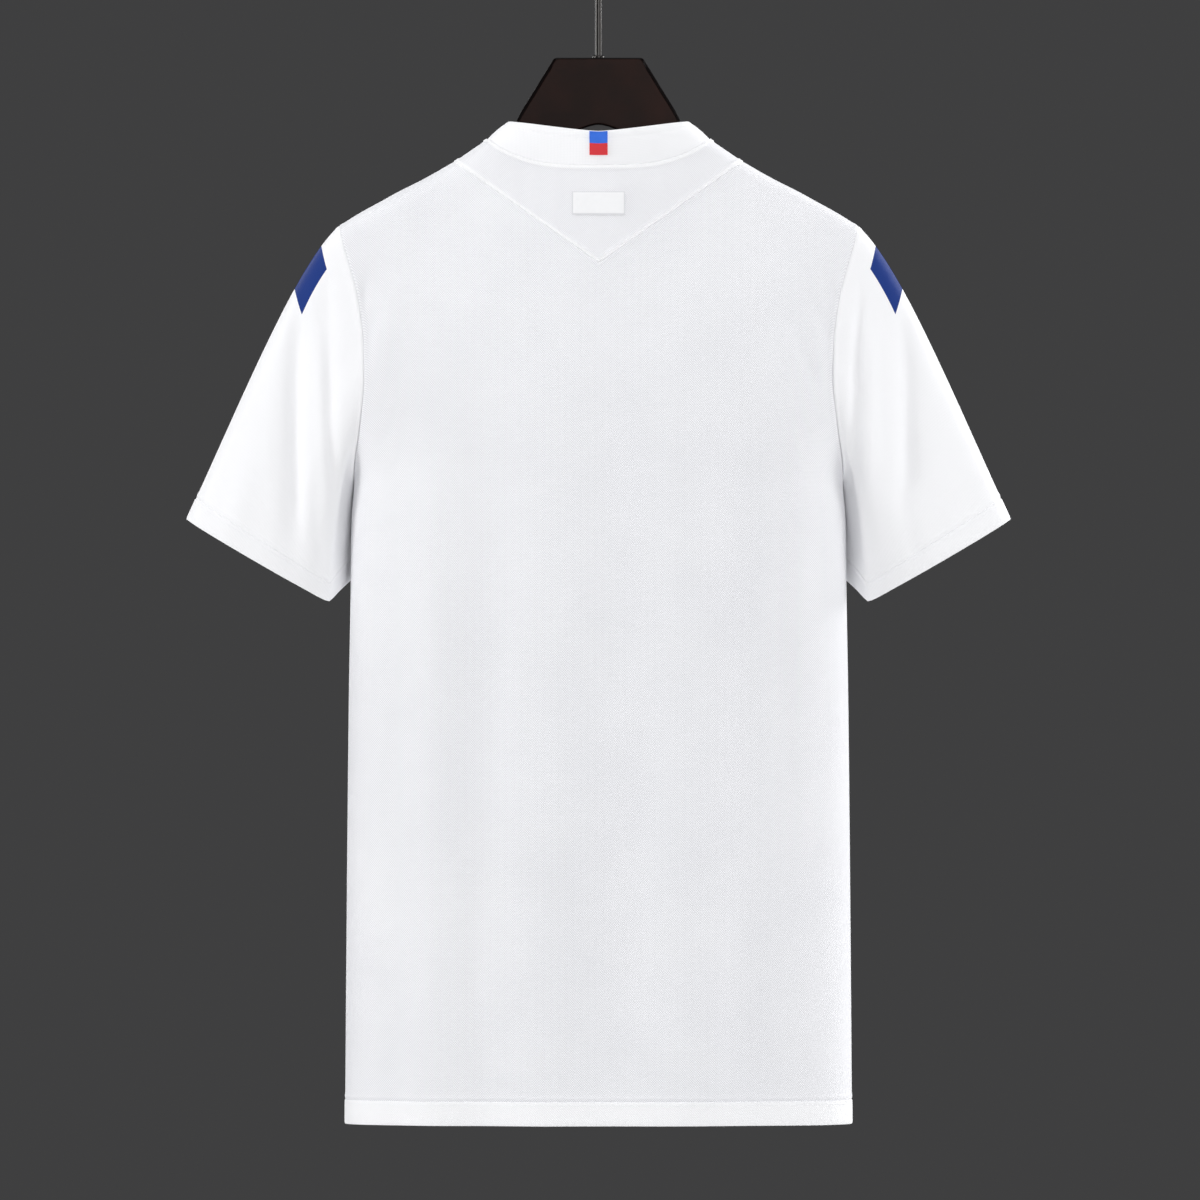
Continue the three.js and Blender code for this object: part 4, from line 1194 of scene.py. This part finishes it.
def hanger_section(x):
    away = abs(x)
    top = float(hanger_top(np.array(x)))
    bend = math.hypot(away, HANGER_APEX_ROUND) - HANGER_APEX_ROUND
    low = HANGER_APEX_Z - HANGER_SLOPE * bend
    grown = float(ease((away - HANGER_GROWS[0]) / (HANGER_GROWS[1] - HANGER_GROWS[0])))
    size = float(curve(HANGER_END, "x", "size")(away))
    half, cut, soft = (mix(*ends, grown) * size for ends in (HANGER_HALF, HANGER_BEVEL, HANGER_SOFT))
    cut *= mix(FLAT_BEVEL, 1, ease((away - FLAT_HALF) / FLAT_FADE))
    middle, tall = (top + low) / 2, (top - low) / 2 * size
    steep = {1: steepness(x), -1: math.hypot(1, HANGER_SLOPE)}
    ring = []
    for sign_y, sign_z in ((1, 1), (-1, 1), (-1, -1), (1, -1)):
        edge = bevel(half, tall, cut, cut * steep[sign_z], soft)
        if sign_y != sign_z:
            edge = edge[::-1]
        y, z = sign_y * edge[:, 0], middle + sign_z * edge[:, 1]
        ring.append(np.stack([np.full(len(edge), x), y, z], axis=-1))
    return np.concatenate(ring)


def make_hanger():
    neck = [3, 8, 14, 20, 25, 28.5, 30, 31, 31.6, 32.2, 32.8, 33.6, 34.4, 35.2, 36.2, 38, 41, 45, 48]
    waist = [52, 57, 60, 61, 62, 62.9, 63.7, 64.6, 66.4, 68.5, 72, 75.5, 80, 86, 92, 98, 102, 106, 110, 114]
    arms = [*range(120, 181, 5), 181, 183, 185, 186.5, 187.6, 188.4, 189]
    half = np.unique(np.array([0, *neck, *waist, *arms], float))
    places = np.concatenate([-half[:0:-1], half])
    rings = np.stack([hanger_section(x) for x in places])
    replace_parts(join_rings("hanger_wood", rings, dark_wood, 40), "hanger_body")


def hook_path():
    """The hook's centreline in the plane Y = 0, from the tip over the top and down the shaft."""
    radius = HOOK_INSIDE + HOOK_WIRE / 2
    leave = math.radians(HOOK_TURN)
    turn = np.linspace(math.radians(HOOK_TIP), leave, 72)
    bow = np.stack([radius * np.cos(turn), -HOOK_INSIDE + radius * np.sin(turn)], axis=-1)
    join, outward = bow[-1], np.array([math.cos(leave), math.sin(leave)])
    bend = -join[0] / (1 - math.cos(leave - math.pi))
    back = np.linspace(leave - math.pi, 0, 22)[1:]
    neck = join + outward * bend + bend * np.stack([np.cos(back), np.sin(back)], axis=-1)
    down = np.linspace(neck[-1][1], HOOK_FOOT_Z, 12)[1:]
    shaft = np.stack([np.full(11, neck[-1][0]), down], axis=-1)
    flat = np.concatenate([bow, neck, shaft])
    return np.stack([flat[:, 0], np.zeros(len(flat)), flat[:, 1]], axis=-1)


def make_hook():
    path = hook_path()
    forward = unit(np.gradient(path, axis=0))
    side = np.array([0.0, 1.0, 0.0])
    out = np.cross(forward, side)
    size = np.full(len(path), HOOK_WIRE / 2)
    size[:3] *= (0.45, 0.75, 0.92)
    path[:3] += forward[:3] * np.array([0.0, 0.35, 0.3])[:, None]
    around = np.arange(20) / 20 * 2 * math.pi
    rings = (
        path[:, None]
        + size[:, None, None] * np.cos(around)[None, :, None] * out[:, None]
        + size[:, None, None] * np.sin(around)[None, :, None] * side
    )
    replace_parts(join_rings("hook_wire", rings, hook_chrome, 60), "hanger_hook")


def make_ferrule():
    """The foot's ring, turned from a section with a rounded outer top edge."""
    bore, out, h = FERRULE_BORE, FERRULE_RADIUS, FERRULE_HEIGHT
    radius, up = np.array([
        (bore, 0), (out, 0), (out, h * 0.45), (out - 0.15, h * 0.7), (out - 0.5, h * 0.9), (out - 0.9, h),
        (bore, h),
    ]).T[..., None]
    around = np.arange(40) / 40 * 2 * math.pi
    x, y = radius * np.cos(around), radius * np.sin(around)
    rings = np.stack([x, y, np.broadcast_to(HOOK_FOOT_Z + up, x.shape)], axis=-1)
    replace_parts(join_rings("hook_foot", rings, hook_chrome, 35, True), "hook_ferrule")


make_hanger()
make_hook()
make_ferrule()


# Room: a wide pale floor, a grey surround and soft light


def make_floor():
    corners = [(x * FLOOR_HALF, y * FLOOR_HALF, FLOOR_Z) for x, y in ((-1, -1), (1, -1), (1, 1), (-1, 1))]
    mesh = bpy.data.meshes.new("floor")
    mesh.from_pydata(corners, [], [(0, 1, 2, 3)])
    nodes = Nodes("floor_paint")
    nodes.paint(nodes.noise(3.0, 3.0), FLOOR_DARK, FLOOR_PALE)
    mesh.materials.append(nodes.set(Roughness=0.9).material)
    add_object("floor", mesh)


def make_light(name, location, size, power):
    data = bpy.data.lights.new(name, "AREA")
    data.shape, data.size, data.energy = "DISK", size, power
    light = add_object(name, data)
    light.location = location
    aim = np.array(LIGHT_AIM) - np.array(location)
    yaw = math.atan2(aim[1], aim[0])
    pitch = math.atan2(math.hypot(aim[0], aim[1]), -aim[2])
    light.rotation_euler = (pitch, 0, yaw - math.pi / 2)


def make_world():
    world = bpy.data.worlds.new("surround")
    world.use_nodes = True
    world.node_tree.nodes["Background"].inputs[0].default_value = (*SURROUND, 1)
    world.node_tree.nodes["Background"].inputs[1].default_value = 1.0
    bpy.context.scene.world = world


def make_camera():
    data = bpy.data.cameras.new("camera")
    data.sensor_width = SENSOR
    data.lens = SENSOR * CAMERA_AWAY / (PICTURE * MM_PER_PIXEL * MM)
    data.clip_end = 100
    camera = add_object("camera", data)
    camera.location = (CENTRE_X * MM, CAMERA_AWAY, CENTRE_Z * MM)
    camera.rotation_euler = (math.pi / 2, 0, math.pi)
    bpy.context.scene.camera = camera


make_floor()
for light_name, (place, width, watts) in LIGHTS.items():
    make_light(light_name, place, width, watts)
make_world()
make_camera()
bpy.context.scene.view_settings.view_transform = "Standard"
